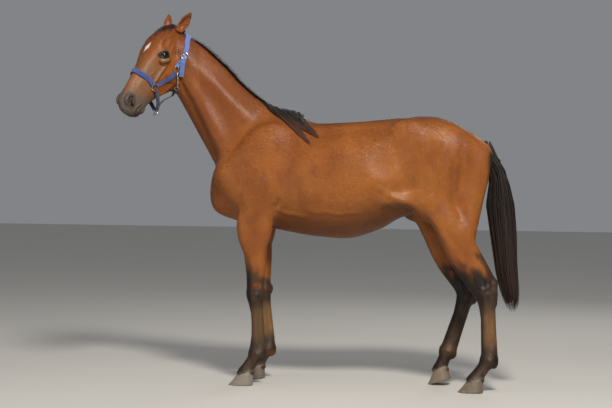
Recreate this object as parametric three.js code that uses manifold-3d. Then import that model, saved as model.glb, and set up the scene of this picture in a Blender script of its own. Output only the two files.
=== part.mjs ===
// A young bay horse standing square-on, with its head turned a little to its left, in a webbing halter.
// Millimetres, +Z up. The horse faces -X and its left side is towards -Y. The floor is z = 0.
//
// The flesh is one implicit shape: lofts through cross sections (trunk, neck, head, limb bones) joined by
// smooth unions with muscles. It is polygonised region by region, simplified, and parted by thin plane cuts.
import * as THREE from "three";
import { mergeVertices } from "three/addons/utils/BufferGeometryUtils.js";
import Module from "manifold-3d";

const wasm = await Module();
wasm.setup();

// ---------------------------------------------------------------- driving dimensions
const coatDepth = 3;            // the solids reach the tips of the short coat, this far above the skin
const cutGap = 0.3;             // clear gap between pieces that meet
const strapWidth = 25;
const strapThickness = 3;
const strapLift = 3.5;          // inner face of a strap above the coat
const strapStep = 24;            // spacing of the cross sections of a strap
const eyeRadius = 22;
const facetAllowance = 1.2;      // facets cut corners, so the faceted surface is set this far out
const legTriangles = 540;

// ---------------------------------------------------------------- small vector tools
const add = (a, b) => [a[0] + b[0], a[1] + b[1], a[2] + b[2]];
const sub = (a, b) => [a[0] - b[0], a[1] - b[1], a[2] - b[2]];
const scale = (a, k) => [a[0] * k, a[1] * k, a[2] * k];
const dot = (a, b) => a[0] * b[0] + a[1] * b[1] + a[2] * b[2];
const cross = (a, b) => [a[1] * b[2] - a[2] * b[1], a[2] * b[0] - a[0] * b[2], a[0] * b[1] - a[1] * b[0]];
const length = (a) => Math.hypot(a[0], a[1], a[2]);
const unit = (a) => scale(a, 1 / length(a));
const mix = (a, b, t) => add(scale(a, 1 - t), scale(b, t));
const radians = (degrees) => (degrees * Math.PI) / 180;
const clamp = (x, low, high) => Math.min(Math.max(x, low), high);
const mirrored = (p, side) => [p[0], p[1] * side, p[2]];

// ---------------------------------------------------------------- shape primitives
// Each primitive is { distance(p), centre, reach }, with a signed distance that is negative inside.

// Sections along a straight axis. A ring is [s, centreUp, centreSide, top, bottom, halfWidth, powerTop,
// powerBottom]; between rings every column follows a smooth monotone curve.
function loft(origin, towards, up, rings) {
  const axis = unit(sub(towards, origin));
  const rise = unit(sub(up, scale(axis, dot(up, axis))));
  const side = cross(axis, rise);
  const last = rings.length - 1;
  const columns = rings[0].length;
  const slopes = rings.map((ring, i) => ring.map((value, c) => {
    if (i === 0 || i === last || c === 0) return 0;
    const before = (value - rings[i - 1][c]) / (ring[0] - rings[i - 1][0]);
    const after = (rings[i + 1][c] - value) / (rings[i + 1][0] - ring[0]);
    return before * after <= 0 ? 0 : (2 * before * after) / (before + after);
  }));
  for (let c = 1; c < columns; c += 1) {
    slopes[0][c] = (rings[1][c] - rings[0][c]) / (rings[1][0] - rings[0][0]);
    slopes[last][c] = (rings[last][c] - rings[last - 1][c]) / (rings[last][0] - rings[last - 1][0]);
  }
  const ring = new Array(columns);
  const sample = (s) => {
    let i = 0;
    while (i < last - 1 && s > rings[i + 1][0]) i += 1;
    const span = rings[i + 1][0] - rings[i][0];
    const t = (s - rings[i][0]) / span;
    const h1 = t * t * (3 - 2 * t);
    const h2 = t * (1 - t) * (1 - t) * span;
    const h3 = t * t * (t - 1) * span;
    for (let c = 1; c < columns; c += 1) {
      ring[c] = rings[i][c] * (1 - h1) + rings[i + 1][c] * h1 + slopes[i][c] * h2 + slopes[i + 1][c] * h3;
    }
    return ring;
  };
  const first = rings[0][0];
  const end = rings[last][0];
  const distance = (p) => {
    const rel = sub(p, origin);
    const s = dot(rel, axis);
    const row = sample(clamp(s, first, end));
    const [, centreUp, centreSide, top, bottom, halfWidth, powerTop, powerBottom] = row;
    const u = dot(rel, rise) - centreUp;
    const v = dot(rel, side) - centreSide;
    const height = u > 0 ? top : bottom;
    const power = u > 0 ? powerTop : powerBottom;
    const k = (Math.abs(u / height) ** power + Math.abs(v / halfWidth) ** power) ** (1 / power);
    const radial = k > 1e-6 ? Math.hypot(u, v) * (1 - 1 / k) : -Math.min(height, halfWidth);
    const over = Math.max(first - s, s - end);
    return over > 0 ? Math.hypot(Math.max(radial, 0), over) : Math.max(radial, over);
  };
  const middle = add(origin, scale(axis, (first + end) / 2));
  const widest = Math.max(...rings.map((r) => Math.abs(r[1]) + Math.abs(r[2]) + Math.max(r[3], r[4], r[5])));
  return { distance, centre: middle, reach: Math.hypot((end - first) / 2, widest) };
}

// An ellipsoid whose long axis is pitched (its +X end raised) and then yawed, in degrees.
function ellipsoid(centre, radii, pitch = 0, yaw = 0) {
  const cp = Math.cos(radians(pitch));
  const sp = Math.sin(radians(pitch));
  const cy = Math.cos(radians(yaw));
  const sy = Math.sin(radians(yaw));
  const axes = [[cp * cy, cp * sy, sp], [-sy, cy, 0], [-sp * cy, -sp * sy, cp]];
  return orientedEllipsoid(centre, radii, axes);
}

function orientedEllipsoid(centre, radii, axes) {
  const distance = (p) => {
    const rel = sub(p, centre);
    const q = axes.map((axis, i) => dot(rel, axis) / radii[i]);
    const k0 = length(q);
    const k1 = length(q.map((value, i) => value / radii[i]));
    return k1 > 1e-9 ? (k0 * (k0 - 1)) / k1 : -Math.min(...radii);
  };
  return { distance, centre, reach: Math.max(...radii) };
}

// A rod with round ends whose radius runs evenly from one end to the other.
function rod(from, to, radiusFrom, radiusTo = radiusFrom) {
  const run = sub(to, from);
  const runSquared = dot(run, run);
  const distance = (p) => {
    const rel = sub(p, from);
    const t = clamp(dot(rel, run) / runSquared, 0, 1);
    return length(sub(rel, scale(run, t))) - (radiusFrom + (radiusTo - radiusFrom) * t);
  };
  return { distance, centre: mix(from, to, 0.5), reach: length(run) / 2 + Math.max(radiusFrom, radiusTo) };
}

const joined = (shape, blend) => ({ ...shape, blend, cuts: false });
const carved = (shape, blend) => ({ ...shape, blend, cuts: true });

function smoothMin(a, b, k) {
  const h = Math.max(k - Math.abs(a - b), 0) / k;
  return Math.min(a, b) - (h * h * h * k) / 6;
}

function fieldOf(shapes) {
  return (p) => {
    let d = 1e6;
    for (const shape of shapes) {
      const other = shape.distance(p);
      d = shape.cuts ? -smoothMin(-d, other, shape.blend) : smoothMin(d, other, shape.blend);
    }
    return d;
  };
}

// ---------------------------------------------------------------- trunk
// Rings across the body: [x, top, bottom, height of the widest level, half width, power above, power below]
const trunkRings = [
  [-735, 1215, 965, 1080, 60, 2.0, 2.0],
  [-690, 1290, 905, 1070, 118, 2.0, 2.0],
  [-600, 1400, 862, 1060, 158, 1.9, 2.0],
  [-500, 1462, 836, 1045, 186, 1.7, 2.0],
  [-355, 1440, 806, 1035, 214, 1.7, 2.1],
  [-192, 1384, 782, 1045, 246, 1.9, 2.1],
  [-31, 1379, 776, 1055, 262, 2.1, 2.1],
  [134, 1395, 826, 1090, 254, 2.1, 2.1],
  [240, 1409, 886, 1130, 236, 2.1, 2.0],
  [365, 1422, 925, 1180, 222, 2.2, 2.0],
  [470, 1398, 950, 1190, 212, 2.2, 2.0],
  [575, 1350, 985, 1180, 178, 2.2, 2.0],
  [640, 1312, 1040, 1180, 118, 2.1, 2.0],
  [672, 1275, 1120, 1190, 50, 2.0, 2.0],
];
const trunkLoft = loft([0, 0, 0], [1, 0, 0], [0, 0, 1], trunkRings.map(
  ([x, top, bottom, wide, half, above, below]) => [x, wide, 0, top - wide, wide - bottom, half, above, below],
));

const trunk = [joined(trunkLoft, 1)];
trunk.push(joined(ellipsoid([-610, 0, 925], [150, 72, 62], -12), 60));            // breastbone
trunk.push(joined(rod([-520, 0, 1440], [-330, 0, 1412], 30, 24), 50));            // withers
for (const side of [-1, 1]) {
  const at = (x, y, z) => mirrored([x, y, z], side);
  const pair = (x, y, z, radii, pitch, yaw, blend) => {
    trunk.push(joined(ellipsoid(at(x, y, z), radii, pitch, yaw * side), blend));
  };
  pair(-520, 112, 1216, [196, 52, 96], 49, -4, 90);          // shoulder blade and its muscles
  pair(-500, 144, 1035, [142, 60, 104], 30, 0, 75);          // triceps
  pair(-648, 106, 1085, [92, 66, 104], 35, 0, 90);            // point of the shoulder
  pair(-698, 50, 1016, [72, 62, 112], -8, 0, 90);            // breast
  pair(440, 112, 1262, [212, 108, 146], -16, 0, 70);         // rump
  pair(284, 168, 1326, [84, 40, 72], 0, 0, 90);              // point of the hip
  pair(600, 84, 1180, [88, 78, 150], 8, 0, 60);              // buttock
  trunk.push(joined(rod(at(-190, 62, 1322), at(230, 66, 1350), 52), 60));         // loin
  trunk.push(carved(ellipsoid(at(195, 268, 1215), [80, 36, 105], -18), 60));      // hollow of the flank
}

// ---------------------------------------------------------------- limbs
// A bone's sections run along the bone: [share of its length, front, back, half width].
function bone(from, to, front, sections, power = 2.1) {
  const span = length(sub(to, from));
  return loft(from, to, front, sections.map(
    ([share, ahead, behind, half]) => [share * span, 0, 0, ahead, behind, half, power, power],
  ));
}

const forearmSections = [
  [-0.34, 60, 50, 44], [-0.12, 100, 60, 58], [0.14, 116, 50, 66], [0.33, 98, 48, 57], [0.52, 77, 50, 47],
  [0.64, 67, 48, 42],
  [0.77, 58, 46, 40], [0.89, 53, 43, 41], [1.0, 48, 44, 42],
];
const foreCannonSections = [
  [0.0, 46, 45, 41], [0.11, 44, 41, 38], [0.25, 36, 39, 29], [0.36, 30, 40, 25.5], [0.53, 29, 42, 24.5],
  [0.7, 31, 44, 26], [0.84, 38, 45, 30], [1.0, 44, 44, 33],
];
const pasternSections = [
  [0.0, 40, 38, 32], [0.45, 35, 34, 29], [0.8, 37, 36, 34], [1.0, 41, 40, 40], [1.25, 41, 40, 42],
];
const gaskinSections = [
  [-0.05, 50, 96, 62], [0.18, 40, 112, 72], [0.36, 51, 116, 66], [0.46, 60, 106, 60], [0.6, 70, 88, 50],
  [0.72, 72, 82, 43], [0.84, 68, 76, 41], [1.0, 62, 50, 40],
];
const hindCannonSections = [
  [-0.04, 58, 44, 38], [0.1, 56, 40, 38], [0.24, 48, 38, 33], [0.4, 42, 39, 28], [0.7, 42, 43, 27],
  [0.9, 42, 46, 32], [1.0, 43, 46, 34],
];

// Where each limb's joints lie, as [x, distance from the middle plane, z]; toe turns the hoof out, degrees.
const limbs = {
  foreleg_left: {
    side: -1, elbow: [-484, 138, 900], knee: [-506, 124, 482], fetlock: [-495, 124, 168],
    coronet: [-556, 136, 66], toeOut: 14, soleTilt: 0,
  },
  foreleg_right: {
    side: 1, elbow: [-522, 138, 900], knee: [-516, 124, 482], fetlock: [-488, 122, 168],
    coronet: [-548, 130, 66], toeOut: 8, soleTilt: 0,
  },
  hindleg_left: {
    side: -1, stifle: [398, 158, 958], hock: [688, 126, 528], cannonTop: [711, 125, 500],
    fetlock: [718, 124, 168], coronet: [648, 132, 66], heelPoint: [742, 126, 566], toeOut: 8, soleTilt: 0,
  },
  hindleg_right: {
    side: 1, stifle: [292, 158, 955], hock: [585, 124, 527], cannonTop: [598, 124, 492],
    fetlock: [490, 122, 182], coronet: [450, 126, 82], heelPoint: [655, 124, 552], toeOut: 8, soleTilt: 17,
  },
};

function foreleg(limb) {
  const at = (p) => mirrored(p, limb.side);
  const [elbow, knee, fetlock, coronet] = [limb.elbow, limb.knee, limb.fetlock, limb.coronet].map(at);
  const ahead = [-1, 0, 0];
  const near = (p, x, y, z) => add(p, [x, y * limb.side, z]);
  return [
    joined(bone(elbow, knee, ahead, forearmSections), 60),
    joined(ellipsoid(near(elbow, -78, 14, -88), [42, 34, 112], 6), 34),            // extensor of the forearm
    joined(ellipsoid(near(elbow, 30, 10, -70), [40, 40, 100], -4), 34),            // flexor of the forearm
    joined(ellipsoid(near(elbow, 52, 12, 18), [40, 32, 42], 30), 34),              // elbow
    joined(ellipsoid(near(knee, -4, 0, -2), [47, 43, 56]), 22),                    // knee
    joined(ellipsoid(near(knee, 36, 2, 12), [20, 19, 28]), 16),                    // bone behind the knee
    joined(bone(knee, fetlock, ahead, foreCannonSections), 20),
    joined(ellipsoid(near(fetlock, 0, 0, -2), [47, 36, 43], 12), 22),              // fetlock
    joined(ellipsoid(near(fetlock, 27, 0, -16), [21, 24, 27], 0), 18),             // ergot
    joined(bone(fetlock, coronet, ahead, pasternSections), 20),
    joined(ellipsoid(near(coronet, 29, 0, 0), [22, 34, 18], -20), 20),           // bulbs of the heel
  ];
}

function hindleg(limb) {
  const at = (p) => mirrored(p, limb.side);
  const [stifle, hock, cannonTop, fetlock, coronet, heelPoint] = [
    limb.stifle, limb.hock, limb.cannonTop, limb.fetlock, limb.coronet, limb.heelPoint,
  ].map(at);
  const hipJoint = at([470, 118, 1185]);
  const seat = at([652, 72, 1215]);
  const near = (p, x, y, z) => add(p, [x, y * limb.side, z]);
  const ahead = [-1, 0, 0];
  const calf = mix(stifle, hock, 0.42);
  const thighPitch = (Math.atan2(hipJoint[2] - stifle[2], hipJoint[0] - stifle[0]) * 180) / Math.PI;
  return [
    joined(ellipsoid(near(mix(hipJoint, stifle, 0.5), 6, 6, 10), [205, 82, 120], thighPitch), 60),   // thigh
    joined(ellipsoid(near(stifle, -12, 6, -4), [62, 50, 82], 20), 45),             // stifle
    joined(rod(seat, near(calf, 66, -14, 40), 74, 62), 70),                        // hamstrings
    joined(ellipsoid(near(mix(seat, calf, 0.45), -70, 6, 0), [112, 62, 150]), 60), // back of the thigh
    joined(rod(at([200, 196, 985]), near(stifle, 6, 8, 30), 34, 44), 70),          // fold of the flank
    joined(bone(stifle, hock, ahead, gaskinSections), 45),
    joined(rod(near(calf, 78, 0, 10), heelPoint, 30, 15), 34),                     // tendon to the hock
    joined(rod(heelPoint, near(cannonTop, 26, 0, -40), 19, 20), 22),               // heel bone of the hock
    joined(ellipsoid(near(mix(hock, cannonTop, 0.5), -6, 0, -6), [52, 43, 60], 12), 26),             // hock
    joined(bone(cannonTop, fetlock, ahead, hindCannonSections), 26),
    joined(ellipsoid(near(fetlock, 0, 0, -2), [46, 36, 44], 10), 22),              // fetlock
    joined(ellipsoid(near(fetlock, 27, 0, -18), [21, 24, 28], 0), 18),             // ergot
    joined(bone(fetlock, coronet, ahead, pasternSections), 20),
    joined(ellipsoid(near(coronet, 29, 0, 0), [22, 34, 18], -20), 20),           // bulbs of the heel
  ];
}

// ---------------------------------------------------------------- neck
const neckBase = [-540, 0, 1215];
const neckTop = [-905, 0, 1700];
// [along, crest, throat, level of the widest part, half width, sideways bend]
const neckRings = [
  [-60, 250, 200, -10, 130, 0],
  [0, 250, 205, -10, 130, 0],
  [150, 214, 188, -20, 112, -4],
  [250, 188, 172, -20, 99, -14],
  [350, 166, 150, -18, 87, -30],
  [450, 158, 126, -12, 78, -50],
  [540, 143, 110, -5, 71, -70],
  [630, 124, 104, 0, 67, -86],
  [700, 99, 92, 0, 64, -96],
  [740, 78, 70, 0, 52, -98],
];
const neckLoft = loft(neckBase, neckTop, [1, 0, 1], neckRings.map(
  ([s, crest, throat, wide, half, bend]) => [s, wide, bend, crest - wide, throat + wide, half, 1.75, 2.0],
));
const neckPoint = (s, up, across) => {
  const axis = unit(sub(neckTop, neckBase));
  const rise = unit(sub([1, 0, 1], scale(axis, dot([1, 0, 1], axis))));
  return add(add(neckBase, scale(axis, s)), add(scale(rise, up), [0, across, 0]));
};
const neck = [joined(neckLoft, 70)];
neck.push(joined(rod(neckPoint(120, -144, -4), neckPoint(580, -92, -72), 50, 42), 60));       // windpipe
for (const side of [-1, 1]) {
  // the long muscle from the jaw to the arm, and the groove between it and the windpipe
  neck.push(joined(rod(neckPoint(560, -26, -72 + 40 * side), neckPoint(60, -112, 74 * side), 28, 46), 80));
  neck.push(joined(rod(neckPoint(620, 30, -84 + 38 * side), neckPoint(190, 84, -8 + 50 * side), 28, 40), 80));
}

// ---------------------------------------------------------------- head
// The head has its own frame: s runs down the face from the poll, d towards the front of the face, and
// l to the horse's left.
const poll = [-1015, -128, 1908];
const faceYaw = 48.5;        // how far the face turns to the left of straight ahead
const faceDip = 55.3;        // how far the face line dips below the horizontal
const faceRoll = 3;        // the top of the head leans to the left
const heading = [-Math.cos(radians(faceYaw)), -Math.sin(radians(faceYaw)), 0];
const upright = [0, 0, 1];
const faceAxis = add(scale(heading, Math.cos(radians(faceDip))), scale(upright, -Math.sin(radians(faceDip))));
const dip = radians(faceDip);
const levelFront = add(scale(heading, Math.sin(dip)), scale(upright, Math.cos(dip)));
const levelLeft = cross(upright, heading);
const rollCos = Math.cos(radians(faceRoll));
const rollSin = Math.sin(radians(faceRoll));
const faceFront = add(scale(levelFront, rollCos), scale(levelLeft, rollSin));
const faceLeft = add(scale(levelLeft, rollCos), scale(levelFront, -rollSin));
const headAxes = [faceAxis, faceFront, faceLeft];
const headTurn = (s, d, l) => add(scale(faceAxis, s), add(scale(faceFront, d), scale(faceLeft, l)));
const headPoint = (s, d, l) => add(poll, headTurn(s, d, l));

// [down the face, face line, widest level, jaw line, half width, power in front, power behind]
const headRings = [
  [-24, -46, -96, -166, 42, 2.0, 2.0],
  [18, -12, -84, -204, 64, 2.2, 2.0],
  [74, 13, -65, -233, 76, 2.3, 2.0],
  [139, 27, -54, -267, 81, 2.4, 2.1],
  [185, 25, -56, -274, 80, 2.5, 2.1],
  [240, 16, -74, -258, 70, 2.5, 2.1],
  [305, 7, -85, -220, 58, 2.4, 2.1],
  [370, 1, -83, -184, 49, 2.3, 2.1],
  [416, -1, -78, -167, 47, 2.3, 2.1],
  [462, -2, -76, -158, 48, 2.3, 2.1],
  [500, -12, -78, -148, 46, 2.2, 2.1],
  [526, -40, -86, -130, 33, 2.0, 2.0],
];
const headLoft = loft(poll, headPoint(1, 0, 0), faceFront, headRings.map(
  ([s, face, wide, jaw, half, front, back]) => [s, wide, 0, face - wide, wide - jaw, half, front, back],
));
const inHead = (centre, radii) => orientedEllipsoid(headPoint(...centre), radii, headAxes);
const head = [joined(headLoft, 30)];
head.push(joined(inHead([506, -78, 0], [29, 50, 42]), 22));                        // upper lip
head.push(joined(inHead([492, -130, 0], [30, 25, 34]), 16));                       // lower lip
head.push(joined(inHead([462, -152, 0], [27, 18, 28]), 18));                       // chin
for (const l of [-1, 1]) {
  head.push(joined(inHead([155, -157, 56 * l], [98, 110, 30]), 34));                // cheek
  head.push(joined(inHead([173, -49, 68 * l], [36, 33, 29]), 26));                 // eye socket
  head.push(joined(inHead([128, -22, 55 * l], [46, 26, 22]), 30));                  // temple
  const cheekBone = rod(headPoint(184, -94, 76 * l), headPoint(306, -106, 53 * l), 9, 6);
  head.push(joined(cheekBone, 22));
  head.push(joined(inHead([474, -42, 39 * l], [36, 32, 18]), 20));                 // nostril wing
  head.push(joined(rod(headPoint(130, -246, 40 * l), headPoint(330, -186, 30 * l), 14, 9), 34)); // jaw bone
  head.push(carved(inHead([480, -46, 60 * l], [20, 12, 10]), 10));                 // nostril
  head.push(carved(inHead([106, -24, 80 * l], [24, 12, 9]), 18));                   // hollow above the eye
}
// The opening between the lids runs from the outer corner forwards and down to the corner beside the nose.
const eyeSlant = radians(44);
const alongEye = add(scale(faceAxis, Math.cos(eyeSlant)), scale(faceFront, Math.sin(eyeSlant)));
const acrossEye = sub(scale(faceFront, Math.cos(eyeSlant)), scale(faceAxis, Math.sin(eyeSlant)));
for (const l of [-1, 1]) {
  const centre = headPoint(175, -52, 96 * l);
  const opening = orientedEllipsoid(centre, [20, 12, 17], [alongEye, acrossEye, faceLeft]);
  head.push(carved(opening, 5));
}
const eyeCentre = (l) => headPoint(175, -52, 75 * l);

// ---------------------------------------------------------------- ears
const earRoot = (l) => headPoint(6, -66, 54 * l);
const earTip = (l) => headPoint(-112, -44, 104 * l);
function ear(l) {
  const root = earRoot(l);
  const tip = earTip(l);
  const opening = unit(add(scale(faceLeft, l), add(scale(faceFront, 0.25), scale(faceAxis, 0.35))));
  const span = length(sub(tip, root));
  const outer = [
    [0, 24, 24], [0.25, 27, 27], [0.5, 27, 27], [0.72, 22, 20], [0.88, 13, 11], [1.0, 3.5, 3],
  ].map(([share, deep, half]) => [share * span, 0, 0, deep, deep, half, 2, 2]);
  const inner = [
    [0.12, 8, 9], [0.3, 19, 17], [0.5, 21, 18], [0.72, 16, 13], [0.92, 7, 4],
  ].map(([share, deep, half]) => [share * span, 14, 0, deep, deep, half, 2, 2]);
  return [joined(loft(root, tip, opening, outer), 14), carved(loft(root, tip, opening, inner), 6)];
}

// ---------------------------------------------------------------- tail
const dock = [
  joined(rod([600, 0, 1292], [668, 0, 1264], 52, 34), 40),
  joined(rod([668, 0, 1264], [738, 0, 1186], 30, 22), 30),
  joined(rod([738, 0, 1186], [770, 0, 1060], 22, 15), 24),
  joined(rod([770, 0, 1060], [780, 0, 960], 15, 9), 20),
];


// ---------------------------------------------------------------- the whole field of flesh
const fleshShapes = [
  ...trunk,
  ...hindleg(limbs.hindleg_left),
  ...hindleg(limbs.hindleg_right),
  ...foreleg(limbs.foreleg_left),
  ...foreleg(limbs.foreleg_right),
  ...neck,
  ...head,
  ...ear(1),
  ...ear(-1),
  ...dock,
];

// Only the shapes that can reach a box matter inside it.
function shapesNear(shapes, low, high, margin) {
  const centre = mix(low, high, 0.5);
  const half = length(sub(high, low)) / 2;
  const gap = (shape) => length(sub(shape.centre, centre)) - shape.reach - shape.blend;
  return shapes.filter((shape) => gap(shape) < half + margin);
}

// A lattice cell: corner c stands at the bits of c, and each edge joins two corners along one axis.
const cellCorners = [0, 1, 2, 3, 4, 5, 6, 7].map((c) => [c & 1, (c >> 1) & 1, c >> 2]);
const cellEdges = [1, 2, 4].flatMap((step) => (
  [0, 1, 2, 3, 4, 5, 6, 7].filter((c) => (c & step) === 0).map((c) => [c, c + step])
));
const edgeBetween = (a, b) => cellEdges.findIndex(([p, q]) => p === Math.min(a, b) && q === Math.max(a, b));
const cellFaces = [[1, 2, 4], [2, 4, 1], [4, 1, 2]].flatMap(([b, c, a]) => (
  [0, a].map((base) => [base, base + b, base + b + c, base + c])
));
const faceEdges = cellFaces.map((face) => face.map((corner, m) => edgeBetween(corner, face[(m + 1) % 4])));

// The surface may pass through a cell in several sheets. Gives each crossed edge the number of its sheet.
function sheetsOf(around) {
  const sheets = cellEdges.map(([a, b], e) => ((around[a] < 0) !== (around[b] < 0) ? e : -1));
  const unite = (e, f) => {
    const [from, to] = [sheets[e], sheets[f]];
    sheets.forEach((sheet, i) => { if (sheet === from) sheets[i] = to; });
  };
  cellFaces.forEach((face, n) => {
    const crossed = faceEdges[n].filter((e) => sheets[e] >= 0);
    if (crossed.length === 2) unite(...crossed);
    if (crossed.length !== 4) return;
    const middleInside = face.reduce((sum, corner) => sum + around[corner], 0) < 0;
    face.forEach((corner, m) => {
      if (around[corner] < 0 !== middleInside) unite(faceEdges[n][m], faceEdges[n][(m + 3) % 4]);
    });
  });
  return sheets;
}

// Surface nets: one vertex for each sheet of the surface in a lattice cell, joined across lattice edges.
// The lattice's outer layer counts as empty, so the mesh is closed.
function polygonise(shapes, low, high, cell, offset) {
  const near = shapesNear(shapes, low, high, cell);
  const counts = [0, 1, 2].map((i) => Math.ceil((high[i] - low[i]) / cell) + 1);
  const [nx, ny, nz] = counts;
  const index = (i, j, k) => i + nx * (j + ny * k);
  const values = new Float32Array(nx * ny * nz).fill(1000);
  const block = 8;
  for (let bk = 1; bk < nz - 1; bk += block) {
    for (let bj = 1; bj < ny - 1; bj += block) {
      for (let bi = 1; bi < nx - 1; bi += block) {
        const from = [bi, bj, bk].map((n, axis) => low[axis] + n * cell);
        const to = from.map((value) => value + block * cell);
        const field = fieldOf(shapesNear(near, from, to, 2 * cell));
        for (let k = bk; k < Math.min(bk + block, nz - 1); k += 1) {
          for (let j = bj; j < Math.min(bj + block, ny - 1); j += 1) {
            for (let i = bi; i < Math.min(bi + block, nx - 1); i += 1) {
              const at = [low[0] + i * cell, low[1] + j * cell, low[2] + k * cell];
              values[index(i, j, k)] = field(at) + offset;
            }
          }
        }
      }
    }
  }
  const cellVertices = new Map();
  const vertices = [];
  const triangles = [];
  for (let k = 0; k < nz - 1; k += 1) {
    for (let j = 0; j < ny - 1; j += 1) {
      for (let i = 0; i < nx - 1; i += 1) {
        const around = cellCorners.map((c) => values[index(i + c[0], j + c[1], k + c[2])]);
        if (around.every((value) => value < 0) || around.every((value) => value >= 0)) continue;
        const sheets = sheetsOf(around);
        const vertexOfSheet = new Map();
        for (const sheet of new Set(sheets.filter((value) => value >= 0))) {
          const crossed = cellEdges.filter((_, e) => sheets[e] === sheet);
          const sum = crossed
            .map(([a, b]) => mix(cellCorners[a], cellCorners[b], around[a] / (around[a] - around[b])))
            .reduce(add);
          const at = scale(sum, cell / crossed.length);
          vertexOfSheet.set(sheet, vertices.length);
          vertices.push(add(low, [at[0] + i * cell, at[1] + j * cell, at[2] + k * cell]));
        }
        cellVertices.set(index(i, j, k), sheets.map((sheet) => vertexOfSheet.get(sheet)));
      }
    }
  }
  const vertex = (i, j, k, edge) => cellVertices.get(index(i, j, k))[edge];
  const quad = (a, b, c, d, flip) => {
    triangles.push(...(flip ? [[a, b, c], [a, c, d]] : [[a, c, b], [a, d, c]]));
  };
  for (let k = 0; k < nz - 1; k += 1) {
    for (let j = 0; j < ny - 1; j += 1) {
      for (let i = 0; i < nx - 1; i += 1) {
        const inside = values[index(i, j, k)] < 0;
        if (j > 0 && k > 0 && inside !== values[index(i + 1, j, k)] < 0) {
          quad(
            vertex(i, j - 1, k - 1, 3), vertex(i, j, k - 1, 2), vertex(i, j, k, 0), vertex(i, j - 1, k, 1), inside,
          );
        }
        if (i > 0 && k > 0 && inside !== values[index(i, j + 1, k)] < 0) {
          quad(
            vertex(i - 1, j, k - 1, 7), vertex(i - 1, j, k, 5), vertex(i, j, k, 4), vertex(i, j, k - 1, 6), inside,
          );
        }
        if (i > 0 && j > 0 && inside !== values[index(i, j, k + 1)] < 0) {
          quad(
            vertex(i - 1, j - 1, k, 11), vertex(i, j - 1, k, 10), vertex(i, j, k, 8), vertex(i - 1, j, k, 9), inside,
          );
        }
      }
    }
  }
  return { vertices, triangles };
}

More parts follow.
